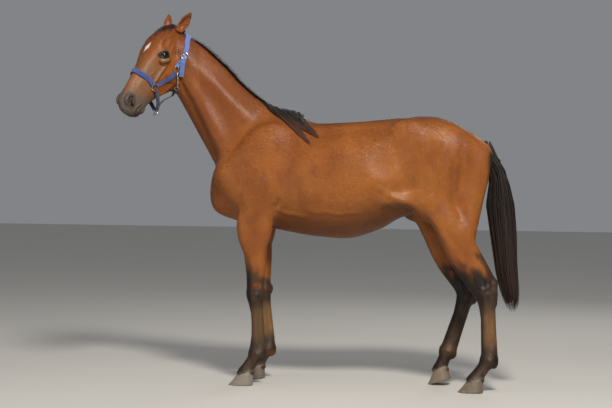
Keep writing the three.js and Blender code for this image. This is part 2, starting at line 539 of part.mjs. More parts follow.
// Edge collapses in order of their quadric error, until the mesh has the wanted number of triangles.
// A collapse that would fold a face or pinch the surface is left out.
function simplify({ vertices, triangles }, wanted) {
  const points = vertices.map((p) => [...p]);
  const faces = triangles.map((t) => [...t]);
  const alive = faces.map(() => true);
  const touching = points.map(() => new Set());
  faces.forEach((face, f) => face.forEach((v) => touching[v].add(f)));
  const normalOf = (a, b, c) => cross(sub(b, a), sub(c, a));
  const quadrics = points.map(() => new Float64Array(10));
  for (const [a, b, c] of faces) {
    const normal = normalOf(points[a], points[b], points[c]);
    const area = length(normal);
    if (area < 1e-9) continue;
    const [x, y, z] = scale(normal, 1 / area);
    const w = -dot([x, y, z], points[a]);
    const terms = [x * x, x * y, x * z, x * w, y * y, y * z, y * w, z * z, z * w, w * w];
    for (const v of [a, b, c]) terms.forEach((term, i) => { quadrics[v][i] += term * area; });
  }
  const errorAt = (q, [x, y, z]) => q[0] * x * x + 2 * q[1] * x * y + 2 * q[2] * x * z + 2 * q[3] * x
    + q[4] * y * y + 2 * q[5] * y * z + 2 * q[6] * y + q[7] * z * z + 2 * q[8] * z + q[9];
  const best = (a, b) => {
    const q = quadrics[a].map((value, i) => value + quadrics[b][i]);
    const det = q[0] * (q[4] * q[7] - q[5] * q[5]) - q[1] * (q[1] * q[7] - q[5] * q[2])
      + q[2] * (q[1] * q[5] - q[4] * q[2]);
    const span = length(sub(points[a], points[b]));
    const middle = mix(points[a], points[b], 0.5);
    let place = middle;
    const size = q[0] + q[4] + q[7];
    if (Math.abs(det) > 1e-5 * size ** 3) {
      const x = -(q[3] * (q[4] * q[7] - q[5] * q[5]) - q[1] * (q[6] * q[7] - q[5] * q[8])
        + q[2] * (q[6] * q[5] - q[4] * q[8])) / det;
      const y = -(q[0] * (q[6] * q[7] - q[8] * q[5]) - q[3] * (q[1] * q[7] - q[5] * q[2])
        + q[2] * (q[1] * q[8] - q[6] * q[2])) / det;
      const z = -(q[0] * (q[4] * q[8] - q[5] * q[6]) - q[1] * (q[1] * q[8] - q[6] * q[2])
        + q[3] * (q[1] * q[5] - q[4] * q[2])) / det;
      if (length(sub([x, y, z], middle)) < span) place = [x, y, z];
    }
    return { place, cost: Math.max(errorAt(q, place), 0) + 1e-4 * span * span * span };
  };
  const version = points.map(() => 0);
  const heap = [];
  const push = (item) => {
    heap.push(item);
    let i = heap.length - 1;
    while (i > 0) {
      const parent = (i - 1) >> 1;
      if (heap[parent].cost <= heap[i].cost) break;
      [heap[parent], heap[i]] = [heap[i], heap[parent]];
      i = parent;
    }
  };
  const pop = () => {
    const top = heap[0];
    const last = heap.pop();
    if (heap.length > 0) {
      heap[0] = last;
      let i = 0;
      for (;;) {
        let small = 2 * i + 1;
        if (small >= heap.length) break;
        if (small + 1 < heap.length && heap[small + 1].cost < heap[small].cost) small += 1;
        if (heap[i].cost <= heap[small].cost) break;
        [heap[i], heap[small]] = [heap[small], heap[i]];
        i = small;
      }
    }
    return top;
  };
  const neighbours = (v) => {
    const found = new Set();
    for (const f of touching[v]) faces[f].forEach((w) => { if (w !== v) found.add(w); });
    return found;
  };
  const offer = (a, b) => {
    const { place, cost } = best(a, b);
    push({ a, b, place, cost, stamp: version[a] + version[b] });
  };
  faces.forEach(([a, b, c]) => [[a, b], [b, c], [c, a]].forEach(([u, v]) => { if (u < v) offer(u, v); }));
  const folds = (moved, other, place) => {
    for (const f of touching[moved]) {
      const face = faces[f];
      if (face.includes(other)) continue;
      const before = normalOf(...face.map((v) => points[v]));
      const after = normalOf(...face.map((v) => (v === moved ? place : points[v])));
      if (dot(before, after) < 0.25 * length(before) * length(after)) return true;
    }
    return false;
  };
  let count = faces.length;
  while (count > wanted && heap.length > 0) {
    const { a, b, place, stamp } = pop();
    if (touching[a].size === 0 || touching[b].size === 0 || version[a] + version[b] !== stamp) continue;
    const aroundB = neighbours(b);
    if (!aroundB.has(a)) continue;
    const shared = [...neighbours(a)].filter((v) => aroundB.has(v));
    if (shared.length !== 2 || folds(a, b, place) || folds(b, a, place)) continue;
    points[a] = place;
    quadrics[a] = quadrics[a].map((value, i) => value + quadrics[b][i]);
    for (const f of [...touching[b]]) {
      if (faces[f].includes(a)) {
        alive[f] = false;
        count -= 1;
        faces[f].forEach((v) => touching[v].delete(f));
      } else {
        faces[f] = faces[f].map((v) => (v === b ? a : v));
        touching[b].delete(f);
        touching[a].add(f);
      }
    }
    version[a] += 1;
    version[b] += 1;
    for (const v of neighbours(a)) {
      version[v] += 1;
    }
    for (const v of neighbours(a)) {
      offer(a, v);
      for (const w of neighbours(v)) if (w !== a) offer(v, w);
    }
  }
  return { vertices: points, triangles: faces.filter((_, f) => alive[f]) };
}

// ---------------------------------------------------------------- solids
function geometryOf({ vertices, triangles }) {
  const geometry = new THREE.BufferGeometry();
  geometry.setAttribute("position", new THREE.BufferAttribute(new Float32Array(vertices.flat()), 3));
  geometry.setIndex(triangles.flat());
  return geometry;
}

function toSolid(geometry) {
  const bare = geometry.clone();
  bare.deleteAttribute("normal");
  bare.deleteAttribute("uv");
  const merged = mergeVertices(bare, 1e-3);
  return new wasm.Manifold(new wasm.Mesh({
    numProp: 3,
    vertProperties: new Float32Array(merged.attributes.position.array),
    triVerts: new Uint32Array(merged.index.array),
  }));
}

function toGeometry(solid) {
  const mesh = solid.getMesh();
  const geometry = new THREE.BufferGeometry();
  geometry.setAttribute("position", new THREE.BufferAttribute(mesh.vertProperties.slice(), 3));
  geometry.setIndex(new THREE.BufferAttribute(mesh.triVerts.slice(), 1));
  return geometry;
}

// A large block whose one face lies in the plane through a point, on the side the normal points to.
function halfSpace(point, normal, shift = 0) {
  const size = 4000;
  const block = new THREE.BoxGeometry(size, size, size);
  block.translate(0, 0, size / 2 + shift);
  const up = new THREE.Vector3(...unit(normal));
  const turn = new THREE.Quaternion().setFromUnitVectors(new THREE.Vector3(0, 0, 1), up);
  block.applyQuaternion(turn);
  block.translate(...point);
  return toSolid(block);
}

function largestBody(solid) {
  return solid.decompose().reduce((best, piece) => (piece.volume() > best.volume() ? piece : best));
}

// The part of space in front of every plane. A plane is [point, normal]; shrink moves each plane inwards.
function regionOf(planes, shrink = 0) {
  return planes
    .map(([point, normal]) => halfSpace(point, normal, shrink))
    .reduce((region, block) => region.intersect(block));
}

// One piece of the surface: polygonised in its own box, kept inside its region, and cut clear of its
// neighbours' regions and of the solids that sit in it.
function fleshSolid({ shapes = fleshShapes, low, high, cell, triangles, keep = [], without = [], holes = [] }) {
  const mesh = polygonise(shapes, low, high, cell, -facetAllowance);
  let solid = toSolid(geometryOf(simplify(mesh, triangles)));
  if (keep.length > 0) solid = solid.intersect(regionOf(keep));
  for (const planes of without) solid = solid.subtract(regionOf(planes, -cutGap));
  for (const hole of holes) solid = solid.subtract(hole);
  return largestBody(solid);
}

// ---------------------------------------------------------------- hooves
const hoofTop = { front: 45, back: 43, half: 43, slope: 0.3 };
const hoofSole = { front: 90, back: 46, half: 60 };
const hoofHeight = 66;          // from the middle of the coronet to the sole
const toeFlat = 5;              // how much of the toe bears on the floor where the heel is raised
const hoofSides = 18;
const hoofLevels = [0, 0.5, 1];

// Puts a hoof under its coronet: x towards the toe, z up, and the middle of the coronet at 0, 0, 0.
function hoofPlacement(limb) {
  const [x, y] = mirrored(limb.coronet, limb.side);
  const turn = new THREE.Matrix4().makeRotationZ(Math.PI - radians(limb.toeOut) * limb.side);
  const place = turn.multiply(new THREE.Matrix4().makeRotationY(radians(limb.soleTilt)));
  const toe = new THREE.Vector3(hoofSole.front, 0, -hoofHeight).applyMatrix4(place);
  const bearing = limb.soleTilt > 0 ? toeFlat : 0;
  return new THREE.Matrix4().makeTranslation(x, y, -toe.z - bearing).multiply(place);
}

function hoofSolid(limb) {
  const vertices = [];
  for (const share of hoofLevels) {
    for (let i = 0; i < hoofSides; i += 1) {
      const angle = (2 * Math.PI * i) / hoofSides;
      const ahead = Math.cos(angle);
      const reach = (ring) => (ahead > 0 ? ring.front : ring.back);
      const x = ahead * (reach(hoofTop) * (1 - share) + reach(hoofSole) * share);
      const y = Math.sin(angle) * (hoofTop.half * (1 - share) + hoofSole.half * share);
      vertices.push([x, y, -x * hoofTop.slope * (1 - share) - hoofHeight * share]);
    }
  }
  const triangles = [];
  for (let level = 0; level < hoofLevels.length - 1; level += 1) {
    for (let i = 0; i < hoofSides; i += 1) {
      const a = level * hoofSides + i;
      const b = level * hoofSides + ((i + 1) % hoofSides);
      triangles.push([a, a + hoofSides, b], [b, a + hoofSides, b + hoofSides]);
    }
  }
  const topCentre = vertices.push([0, 0, 0]) - 1;
  const soleCentre = vertices.push([0, 0, -hoofHeight]) - 1;
  const lowest = (hoofLevels.length - 1) * hoofSides;
  for (let i = 0; i < hoofSides; i += 1) {
    const next = (i + 1) % hoofSides;
    triangles.push([topCentre, i, next], [soleCentre, lowest + next, lowest + i]);
  }
  const geometry = geometryOf({ vertices, triangles });
  geometry.applyMatrix4(hoofPlacement(limb));
  return toSolid(geometry).intersect(halfSpace([0, 0, 0], [0, 0, 1]));
}

// The plane between a hoof and its pastern, with its normal up the leg.
function coronetPlane(limb) {
  const place = hoofPlacement(limb);
  const point = new THREE.Vector3(0, 0, cutGap).applyMatrix4(place);
  const normal = new THREE.Vector3(hoofTop.slope, 0, 1).transformDirection(place);
  return [point.toArray(), normal.toArray()];
}

// ---------------------------------------------------------------- where the flesh is parted
const headRegion = [
  [headPoint(-38, -80, 0), add(scale(faceAxis, 0.832), scale(faceFront, 0.555))],
  [headPoint(300, -262, 0), add(scale(faceAxis, -0.3), scale(faceFront, 0.954))],
];
const earRegion = (l) => [
  [headPoint(-16, -62, 64 * l), sub(earTip(l), earRoot(l))],
  [headPoint(0, 0, 4 * l), scale(faceLeft, l)],
];
const neckRegion = [[neckPoint(190, 0, 0), [-0.893, 0, 0.45]]];
const dockRegion = [
  [[694, 0, 1290], [0.985, 0, 0.17]],
  [[0, 58, 0], [0, -1, 0]],
  [[0, -58, 0], [0, 1, 0]],
];
const foreRegion = (side) => [
  [[-490, 124 * side, 868], [-0.1, 0, -0.995]],
  [[-396, 0, 0], [-1, 0, 0]],
  [[0, 60 * side, 0], [0, side, 0]],
];
const hindRegion = (side, flankX) => [
  [[430, 110 * side, 990], [0, 0.66 * side, -0.751]],
  [[flankX, 0, 900], [0.94, 0, -0.34]],
  [[0, 4 * side, 0], [0, side, 0]],
];

// A leg is parted again at the knee or hock, which keeps each piece nearly straight.
const legs = {
  foreleg_left: { region: foreRegion(-1), joint: 482, low: [-680, -250, 0], high: [-380, -40, 930] },
  foreleg_right: { region: foreRegion(1), joint: 482, low: [-680, 40, 0], high: [-380, 250, 930] },
  hindleg_left: { region: hindRegion(-1, 285), joint: 512, low: [240, -280, 0], high: [790, 10, 1200] },
  hindleg_right: { region: hindRegion(1, 200), joint: 512, low: [160, -10, 0], high: [790, 280, 1200] },
};

function legSolids(name) {
  const { region, joint, low, high } = legs[name];
  const leg = fleshSolid({ low, high, cell: 10, triangles: legTriangles, keep: region });
  const aboveJoint = [[0, 0, joint + cutGap / 2], [0, 0, 1]];
  const belowJoint = [[0, 0, joint - cutGap / 2], [0, 0, -1]];
  return {
    [`${name}_upper`]: largestBody(leg.intersect(regionOf([aboveJoint]))),
    [`${name}_lower`]: largestBody(leg.intersect(regionOf([belowJoint, coronetPlane(limbs[name])]))),
    [`${name}_hoof`]: hoofSolid(limbs[name]),
  };
}

// ---------------------------------------------------------------- eyes
const eyeSolid = (l, radius) => {
  const ball = new THREE.IcosahedronGeometry(radius, 2);
  ball.translate(...eyeCentre(l));
  return toSolid(ball);
};

// ---------------------------------------------------------------- hair
// The distance to a chain of rods through points, with a radius at each.
function chainDistance(points, radii) {
  const rods = points.slice(1).map((point, i) => rod(points[i], point, radii[i], radii[i + 1]));
  return (p) => Math.min(...rods.map((shape) => shape.distance(p)));
}

// Hair that lies on the flesh between two heights above it, where reach(p) is negative.
function hairLayer({ reach, from, to, low, high, cell, triangles }) {
  const near = fieldOf(shapesNear(fleshShapes, low, high, 60));
  const distance = (p) => {
    const outside = reach(p);
    if (outside > 2 * cell) return outside;
    const height = near(p);
    return Math.max(height - to, from - height, outside);
  };
  const span = length(sub(high, low));
  const layer = { distance, centre: mix(low, high, 0.5), reach: span, blend: 1, cuts: false };
  const mesh = polygonise([layer], low, high, cell, 0);
  return largestBody(toSolid(geometryOf(simplify(mesh, triangles))));
}

// The mane springs from the crest and falls to the right, with a narrow brush standing on the near side.
const maneStations = [
  [215, 196, -11], [300, 176, -22], [400, 162, -40], [500, 148, -61], [580, 134, -77], [650, 118, -88],
];
const maneLine = maneStations.map(([s, up, across]) => neckPoint(s, up, across));
const maneDrop = [88, 104, 108, 104, 88, 52];
const nearBrush = 16;
function maneReach(p) {
  const along = clamp((dot(sub(p, neckBase), unit(sub(neckTop, neckBase))) - 215) / 475, 0, 1);
  const crestAcross = -11 - 83 * along;
  return Math.max(chainDistance(maneLine, maneDrop)(p), crestAcross - nearBrush - p[1]);
}
// Two locks part over the near side of the withers.
const withersChains = [
  chainDistance(
    [[-490, -20, 1486], [-400, -44, 1442], [-318, -90, 1392], [-262, -146, 1326], [-210, -194, 1266]],
    [30, 34, 25, 16, 8],
  ),
  chainDistance(
    [[-400, -30, 1452], [-335, -62, 1420], [-290, -84, 1392], [-225, -128, 1350], [-174, -168, 1310]],
    [30, 32, 25, 18, 8],
  ),
];
const withersReach = (p) => Math.max(Math.min(...withersChains.map((chain) => chain(p))), 4 - maneReach(p));
const forelock = {
  line: [headPoint(-22, -50, 2), headPoint(34, -6, 4), headPoint(92, 18, -4)], radii: [30, 27, 10],
};

// [height, front, back, half width]
const tailSections = [
  [1304, 662, 690, 14], [1284, 676, 714, 28], [1240, 698, 757, 38], [1190, 706, 779, 44],
  [1087, 702, 809, 54], [961, 684, 842, 60], [805, 710, 854, 58], [612, 740, 862, 48],
  [519, 764, 868, 36], [450, 790, 867, 24], [392, 826, 848, 8],
];
const tailLoft = loft([0, 0, 0], [0, 0, -1], [-1, 0, 0], tailSections.map(
  ([z, front, back, half]) => [-z, -(front + back) / 2, 0, (back - front) / 2, (back - front) / 2, half, 2, 2],
));

// ---------------------------------------------------------------- halter
const strapField = fieldOf([...neck, ...head]);
const headCore = (s) => headPoint(clamp(s, 20, 480), -80, 0);

function outwardAt(p) {
  const axes = [[1, 0, 0], [0, 1, 0], [0, 0, 1]];
  const slope = axes.map((axis) => strapField(add(p, axis)) - strapField(sub(p, axis)));
  return unit(slope);
}

// Moves a point to a given height above the coat, straight out from the surface.
function onHead(target, height) {
  let point = target;
  for (let step = 0; step < 12; step += 1) {
    point = add(point, scale(outwardAt(point), 0.9 * (height - strapField(point))));
  }
  return point;
}

// A flat strap through points of the head's frame. It lies on the head, at a height that may change from its
// start at 0 to its end at 1, unless it hangs with one side facing a given way.
function strapSolid({ path, width = strapWidth, height = () => strapLift, facing = null }) {
  const curve = new THREE.CatmullRomCurve3(path.map((p) => new THREE.Vector3(...headPoint(...p))));
  const steps = Math.max(3, Math.round(curve.getLength() / strapStep));
  const vertices = [];
  for (let i = 0; i <= steps; i += 1) {
    const at = curve.getPointAt(i / steps).toArray();
    const along = curve.getTangentAt(i / steps).toArray();
    const outward = facing ?? outwardAt(at);
    const across = unit(cross(along, outward));
    const out = unit(cross(across, along));
    for (const [edge, layer] of [[-1, 0], [1, 0], [1, 1], [-1, 1]]) {
      const point = add(at, scale(across, (edge * width) / 2));
      vertices.push(facing
        ? add(point, scale(out, layer * strapThickness))
        : onHead(point, height(i / steps) + layer * strapThickness));
    }
  }
  const triangles = [];
  const count = vertices.length;
  for (let i = 0; i < steps; i += 1) {
    for (let corner = 0; corner < 4; corner += 1) {
      const [a, b] = [4 * i + corner, 4 * i + ((corner + 1) % 4)];
      const [c, d] = [(a + 4) % count, (b + 4) % count];
      triangles.push([a, b, c], [b, d, c]);
    }
  }
  const end = 4 * steps;
  triangles.push([0, 2, 1], [0, 3, 2], [end, end + 1, end + 2], [end, end + 2, end + 3]);
  const solid = toSolid(geometryOf({ vertices, triangles }));
  if (solid.volume() > 0) return solid;
  return toSolid(geometryOf({ vertices, triangles: triangles.map(([a, b, c]) => [a, c, b]) }));
}

// A flat frame of round wire around a point of the head: a rectangle with rounded corners, or an oval.
function wireRing({
  centre, along, halfLong, halfAcross, wire, corner, lift = strapLift + wire, hangs = false,
}) {
  const middle = hangs ? headPoint(...centre) : onHead(headPoint(...centre), lift);
  const out = hangs ? unit(sub(middle, headCore(centre[0]))) : outwardAt(middle);
  const heading = headTurn(...along);
  const long = unit(sub(heading, scale(out, dot(heading, out))));
  const side = cross(out, long);
  const points = [];
  const turns = 10;
  for (let i = 0; i < turns; i += 1) {
    const angle = (2 * Math.PI * (i + 0.5)) / turns;
    const c = Math.cos(angle);
    const s = Math.sin(angle);
    const round = (value) => Math.sign(value) * Math.abs(value) ** corner;
    const point = add(middle, add(scale(long, halfLong * round(c)), scale(side, halfAcross * round(s))));
    points.push(new THREE.Vector3(...point));
  }
  const curve = new THREE.CatmullRomCurve3(points, true);
  const section = new THREE.Shape();
  section.absarc(0, 0, wire, 0, 2 * Math.PI);
  const ring = [];
  const sides = 5;
  for (let i = 0; i < turns; i += 1) {
    const at = curve.getPointAt(i / turns);
    const tangent = curve.getTangentAt(i / turns).toArray();
    const across = unit(cross(tangent, out));
    for (let k = 0; k < sides; k += 1) {
      const angle = (2 * Math.PI * k) / sides;
      const outward = add(scale(across, wire * Math.cos(angle)), scale(out, wire * Math.sin(angle)));
      ring.push(add(at.toArray(), outward));
    }
  }
  const triangles = [];
  for (let i = 0; i < turns; i += 1) {
    for (let k = 0; k < sides; k += 1) {
      const a = i * sides + k;
      const b = i * sides + ((k + 1) % sides);
      const c = ((i + 1) % turns) * sides + k;
      const d = ((i + 1) % turns) * sides + ((k + 1) % sides);
      triangles.push([a, c, b], [b, c, d]);
    }
  }
  const solid = toSolid(geometryOf({ vertices: ring, triangles }));
  if (solid.volume() > 0) return solid;
  return toSolid(geometryOf({ vertices: ring, triangles: triangles.map(([a, b, c]) => [a, c, b]) }));
}

// Each strap's route over the left side of the head; the right side mirrors what both sides have.
const flip = (path) => path.map(([s, d, l]) => [s, d, -l]);
const nosebandHalf = [[331, -100, 54], [324, -62, 55], [326, -14, 38]];
const nosebandPath = [...nosebandHalf, [320, 5, 0], ...flip(nosebandHalf).reverse()];
const nosebandLift = 4.5;
const cheekPath = [[311, -131, 54], [271, -150, 62], [244, -160, 72], [211, -167, 80]];
const crownPath = [
  [92, -136, 117], [66, -128, 114], [37, -118, 102], [2, -120, 74], [-20, -108, 34], [-20, -104, -6],
  [4, -114, -48], [50, -126, -76], [110, -140, -84], [164, -150, -86],
];
const crownTailLift = 8;
const crownRise = 8;            // the crown strap stands off over the roots of the ears
const crownLift = (share) => strapLift + crownRise * clamp(4 * Math.min(share, 1 - share), 0, 1);
const crownTailPath = [[134, -156, 114], [150, -166, 110], [172, -182, 105], [200, -203, 99]];
const billetPath = [[134, -150, 114], [151, -150, 100], [167, -148, 92]];
const throatPath = [
  [257, -250, 42], [262, -262, 20], [262, -266, -4], [256, -260, -32], [238, -236, -62], [210, -184, -82],
];
const chinPath = [[354, -148, 50], [364, -174, 44], [382, -203, 30], [398, -222, 16]];
const jawPath = [[388, -232, 0], [357, -231, 0], [320, -243, 0], [279, -268, -2]];
const squareRing = {
  centre: [335, -124, 51], along: [326, -76, 55], halfLong: 18, halfAcross: 18, wire: 3, corner: 0.5,
};
const ovalRing = {
  centre: [190, -160, 87], along: [150, -132, 90], halfLong: 19, halfAcross: 12, wire: 3, corner: 1,
};
const flippedRing = (ring) => ({ ...ring, centre: flip([ring.centre])[0], along: flip([ring.along])[0] });

function halterSolids() {
  return {
    halter_noseband: strapSolid({ path: nosebandPath, height: () => nosebandLift }),
    halter_cheek_left: strapSolid({ path: cheekPath }),
    halter_cheek_right: strapSolid({ path: flip(cheekPath) }),
    halter_crown: strapSolid({ path: crownPath, height: crownLift }),
    halter_crown_tail: strapSolid({ path: crownTailPath, height: () => crownTailLift }),
    halter_billet: strapSolid({ path: billetPath }),
    halter_throat: strapSolid({ path: throatPath, width: 20 }),
    halter_chin_left: strapSolid({ path: chinPath, width: 24, facing: faceLeft }),
    halter_chin_right: strapSolid({ path: flip(chinPath), width: 24, facing: scale(faceLeft, -1) }),
    halter_jaw: strapSolid({ path: jawPath, width: 20, facing: scale(faceFront, -1) }),
    halter_ring_left: wireRing(squareRing),
    halter_ring_right: wireRing(flippedRing(squareRing)),
    halter_throat_ring_left: wireRing(ovalRing),
    halter_throat_ring_right: wireRing(flippedRing(ovalRing)),
    halter_buckle: wireRing({
      centre: [112, -145, 117], along: [80, -132, 117], halfLong: 17, halfAcross: 16, wire: 2.5, corner: 0.5,
    }),
    halter_snap: strapSolid({ path: [[207, -180, 82], [222, -204, 74], [233, -219, 67]], width: 9 }),
    halter_snap_loop: wireRing({
      centre: [245, -237, 56], along: [258, -250, 46], lift: 8,
      halfLong: 9, halfAcross: 12, wire: 2.5, corner: 0.6,
    }),
    halter_chin_ring: wireRing({
      centre: [417, -238, 0], along: [440, -254, 0],
      halfLong: 14, halfAcross: 14, wire: 3, corner: 1, hangs: true,
    }),
  };
}

// ---------------------------------------------------------------- all the pieces
function fleshSolids() {
  const eyeHoles = [eyeSolid(1, eyeRadius + cutGap), eyeSolid(-1, eyeRadius + cutGap)];
  const legRegions = Object.values(legs).map((leg) => leg.region);
  return {
    trunk: fleshSolid({
      low: [-860, -330, 720], high: [760, 330, 1560], cell: 18, triangles: 1400,
      without: [neckRegion, dockRegion, ...legRegions],
    }),
    neck: fleshSolid({
      low: [-1120, -290, 1000], high: [-420, 220, 1920], cell: 15, triangles: 620,
      keep: neckRegion, without: [headRegion],
    }),
    head: fleshSolid({
      shapes: [...neck, ...head], low: [-1300, -470, 1380], high: [-800, 120, 1990], cell: 7, triangles: 1500,
      keep: headRegion, holes: eyeHoles,
    }),
    ear_left: fleshSolid({
      low: [-1060, -230, 1870], high: [-820, -60, 2000], cell: 5, triangles: 200, keep: earRegion(1),
    }),
    ear_right: fleshSolid({
      low: [-1130, -110, 1870], high: [-970, 60, 2010], cell: 5, triangles: 200, keep: earRegion(-1),
    }),
    tail_dock: fleshSolid({
      low: [640, -70, 930], high: [830, 70, 1360], cell: 9, triangles: 160, keep: dockRegion,
    }),
    ...Object.assign({}, ...Object.keys(legs).map(legSolids)),
  };
}

function hairSolids() {
  return {
    tail_hair: hairLayer({
      reach: tailLoft.distance, from: 8, to: 400, low: [640, -80, 370], high: [890, 80, 1340], cell: 6,
      triangles: 360,
    }),
    mane: hairLayer({
      reach: maneReach, from: 6, to: 21, low: [-1010, -180, 1330], high: [-380, 190, 1950], cell: 6,
      triangles: 330,
    }),
    withers_lock: hairLayer({
      reach: withersReach, from: 6, to: 18,
      low: [-590, -240, 1230], high: [-140, 40, 1530], cell: 6, triangles: 190,
    }),
    forelock: hairLayer({
      reach: chainDistance(forelock.line, forelock.radii), from: 5, to: 15,
      low: [-1180, -300, 1740], high: [-960, -60, 1970], cell: 5, triangles: 140,
    }),
  };
}

// ---------------------------------------------------------------- colours
const finish = (color, roughness, metalness = 0) => ({ color, roughness, metalness });
const finishes = {
  coat: finish(0x8a4a22, 0.5),
  darkCoat: finish(0x2e1f18, 0.5),
  eye: finish(0x14100e, 0.1),
  hoof: finish(0x6f665c, 0.6),
  hair: finish(0x15110f, 0.6),
  webbing: finish(0x3f63a8, 0.8),
  metal: finish(0xb9b6ac, 0.3, 1),
};

function finishOf(name) {
  if (/ring|buckle|snap/.test(name)) return finishes.metal;
  if (name.startsWith("halter")) return finishes.webbing;
  if (name.endsWith("hoof")) return finishes.hoof;
  if (name.startsWith("eye")) return finishes.eye;
  if (/hair|mane|lock/.test(name)) return finishes.hair;
  if (name.endsWith("lower")) return finishes.darkCoat;
  return finishes.coat;
}

// ---------------------------------------------------------------- the horse
const solids = {
  ...fleshSolids(),
  eye_left: eyeSolid(1, eyeRadius),
  eye_right: eyeSolid(-1, eyeRadius),
  ...hairSolids(),
  ...halterSolids(),
};

const horse = new THREE.Group();
horse.name = "horse";
for (const [name, solid] of Object.entries(solids)) {
  const mesh = new THREE.Mesh(toGeometry(solid), new THREE.MeshStandardMaterial(finishOf(name)));
  mesh.name = name;
  horse.add(mesh);
}

// The origin is the middle of the underside of the bounding box.
const box = new THREE.Box3().setFromObject(horse);
horse.position.set(-(box.min.x + box.max.x) / 2, -(box.min.y + box.max.y) / 2, -box.min.z);

export default horse;
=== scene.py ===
"""A young bay horse standing in a blue webbing halter: its skin, coat, hair, eyes, hooves and tack.

The body's own measures are in millimetres: +Z up, facing -X, its left side towards -Y, the floor at z = 0.
They are the measures of the solid frame, and place() carries them into the frame, in metres.
"""
import math
from concurrent.futures import ThreadPoolExecutor

import bpy
import numpy as np
from mathutils import Euler, Matrix, Vector
from mathutils.kdtree import KDTree


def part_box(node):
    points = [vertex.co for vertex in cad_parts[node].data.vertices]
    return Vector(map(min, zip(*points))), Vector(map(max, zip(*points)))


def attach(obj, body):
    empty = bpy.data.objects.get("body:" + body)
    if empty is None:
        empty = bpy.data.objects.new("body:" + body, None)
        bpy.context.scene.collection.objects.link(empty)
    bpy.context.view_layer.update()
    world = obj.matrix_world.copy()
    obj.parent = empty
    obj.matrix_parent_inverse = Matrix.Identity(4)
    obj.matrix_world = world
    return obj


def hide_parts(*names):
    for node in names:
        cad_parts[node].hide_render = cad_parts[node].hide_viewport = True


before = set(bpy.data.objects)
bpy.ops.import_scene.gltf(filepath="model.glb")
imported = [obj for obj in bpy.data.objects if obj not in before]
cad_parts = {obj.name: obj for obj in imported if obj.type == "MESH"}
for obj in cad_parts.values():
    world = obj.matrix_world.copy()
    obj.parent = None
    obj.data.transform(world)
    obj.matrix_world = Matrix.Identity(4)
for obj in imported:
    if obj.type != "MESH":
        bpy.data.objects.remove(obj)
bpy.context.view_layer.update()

# ---------------- driving measures
COAT_DEPTH = 3.0            # the skin lies this far inside the solids
STRAP_WIDTH = 25.0
STRAP_THICKNESS = 3.0
EYE_RADIUS = 22.0
SEED = 7                    # of every random draw
FAR_AWAY = 1e6

# ---------------- small vector tools
X, Y, Z = np.eye(3)


def vec(*values):
    return np.array(values, float)


def unit(v):
    return v / np.linalg.norm(v, axis=-1, keepdims=True)


def mix(a, b, t):
    return a * (1 - t) + b * t


def smooth(t, low=0.0, high=1.0):
    """0 below low, 1 above high, and a smooth step between; low may be the larger one."""
    t = np.clip((t - low) / (high - low), 0, 1)
    return t * t * (3 - 2 * t)


def mirrored(p, side):
    return vec(p[0], p[1] * side, p[2])


# ---------------- shape primitives
class Shape:
    """A signed distance with a bounding sphere, and how it joins what came before it."""

    def __init__(self, distance, centre, reach, blend=1.0, cuts=False):
        self.distance, self.centre, self.reach, self.blend, self.cuts = distance, centre, reach, blend, cuts


def joined(shape, blend):
    return Shape(shape.distance, shape.centre, shape.reach, blend)


def carved(shape, blend):
    return Shape(shape.distance, shape.centre, shape.reach, blend, True)


def loft(origin, towards, up, rings):
    """Sections along a straight axis.

    Each is [s, centre up, centre side, top, bottom, half width, power above, power below].
    """
    rings = np.array(rings, float)
    axis = unit(towards - origin)
    rise = unit(up - axis * np.dot(up, axis))
    side = np.cross(axis, rise)
    s, values = rings[:, 0], rings[:, 1:]
    steps = np.diff(values, axis=0) / np.diff(s)[:, None]
    slopes = np.zeros_like(values)
    slopes[0], slopes[-1] = steps[0], steps[-1]
    same_way = steps[:-1] * steps[1:] > 0
    total = np.where(same_way, steps[:-1] + steps[1:], 1)
    slopes[1:-1] = np.where(same_way, 2 * steps[:-1] * steps[1:] / total, 0)

    def sample(at):
        i = np.clip(np.searchsorted(s, at, side="right") - 1, 0, len(s) - 2)
        span = (s[i + 1] - s[i])[:, None]
        t = (at - s[i])[:, None] / span
        ease = t * t * (3 - 2 * t)
        return (values[i] * (1 - ease) + values[i + 1] * ease
                + slopes[i] * t * (1 - t) ** 2 * span + slopes[i + 1] * t * t * (t - 1) * span)

    def distance(p):
        rel = p - origin
        along = rel @ axis
        up_at, side_at, top, bottom, half, power_top, power_bottom = sample(np.clip(along, s[0], s[-1])).T
        u = rel @ rise - up_at
        v = rel @ side - side_at
        height = np.where(u > 0, top, bottom)
        power = np.where(u > 0, power_top, power_bottom)
        k = ((np.abs(u / height) + 1e-9) ** power + (np.abs(v / half) + 1e-9) ** power) ** (1 / power)
        radial = np.where(k > 1e-6, np.hypot(u, v) * (1 - 1 / np.maximum(k, 1e-6)), -np.minimum(height, half))
        over = np.maximum(s[0] - along, along - s[-1])
        return np.where(over > 0, np.hypot(np.maximum(radial, 0), over), np.maximum(radial, over))

    widest = np.max(np.abs(rings[:, 1]) + np.abs(rings[:, 2]) + rings[:, 3:6].max(axis=1))
    return Shape(distance, origin + axis * (s[0] + s[-1]) / 2, math.hypot((s[-1] - s[0]) / 2, widest))


def oriented_ellipsoid(centre, radii, axes):
    radii = np.array(radii, float)
    axes = np.array(axes, float)

    def distance(p):
        q = (p - centre) @ axes.T / radii
        k0 = np.linalg.norm(q, axis=1)
        k1 = np.maximum(np.linalg.norm(q / radii, axis=1), 1e-9)
        return k0 * (k0 - 1) / k1

    return Shape(distance, np.array(centre, float), radii.max())


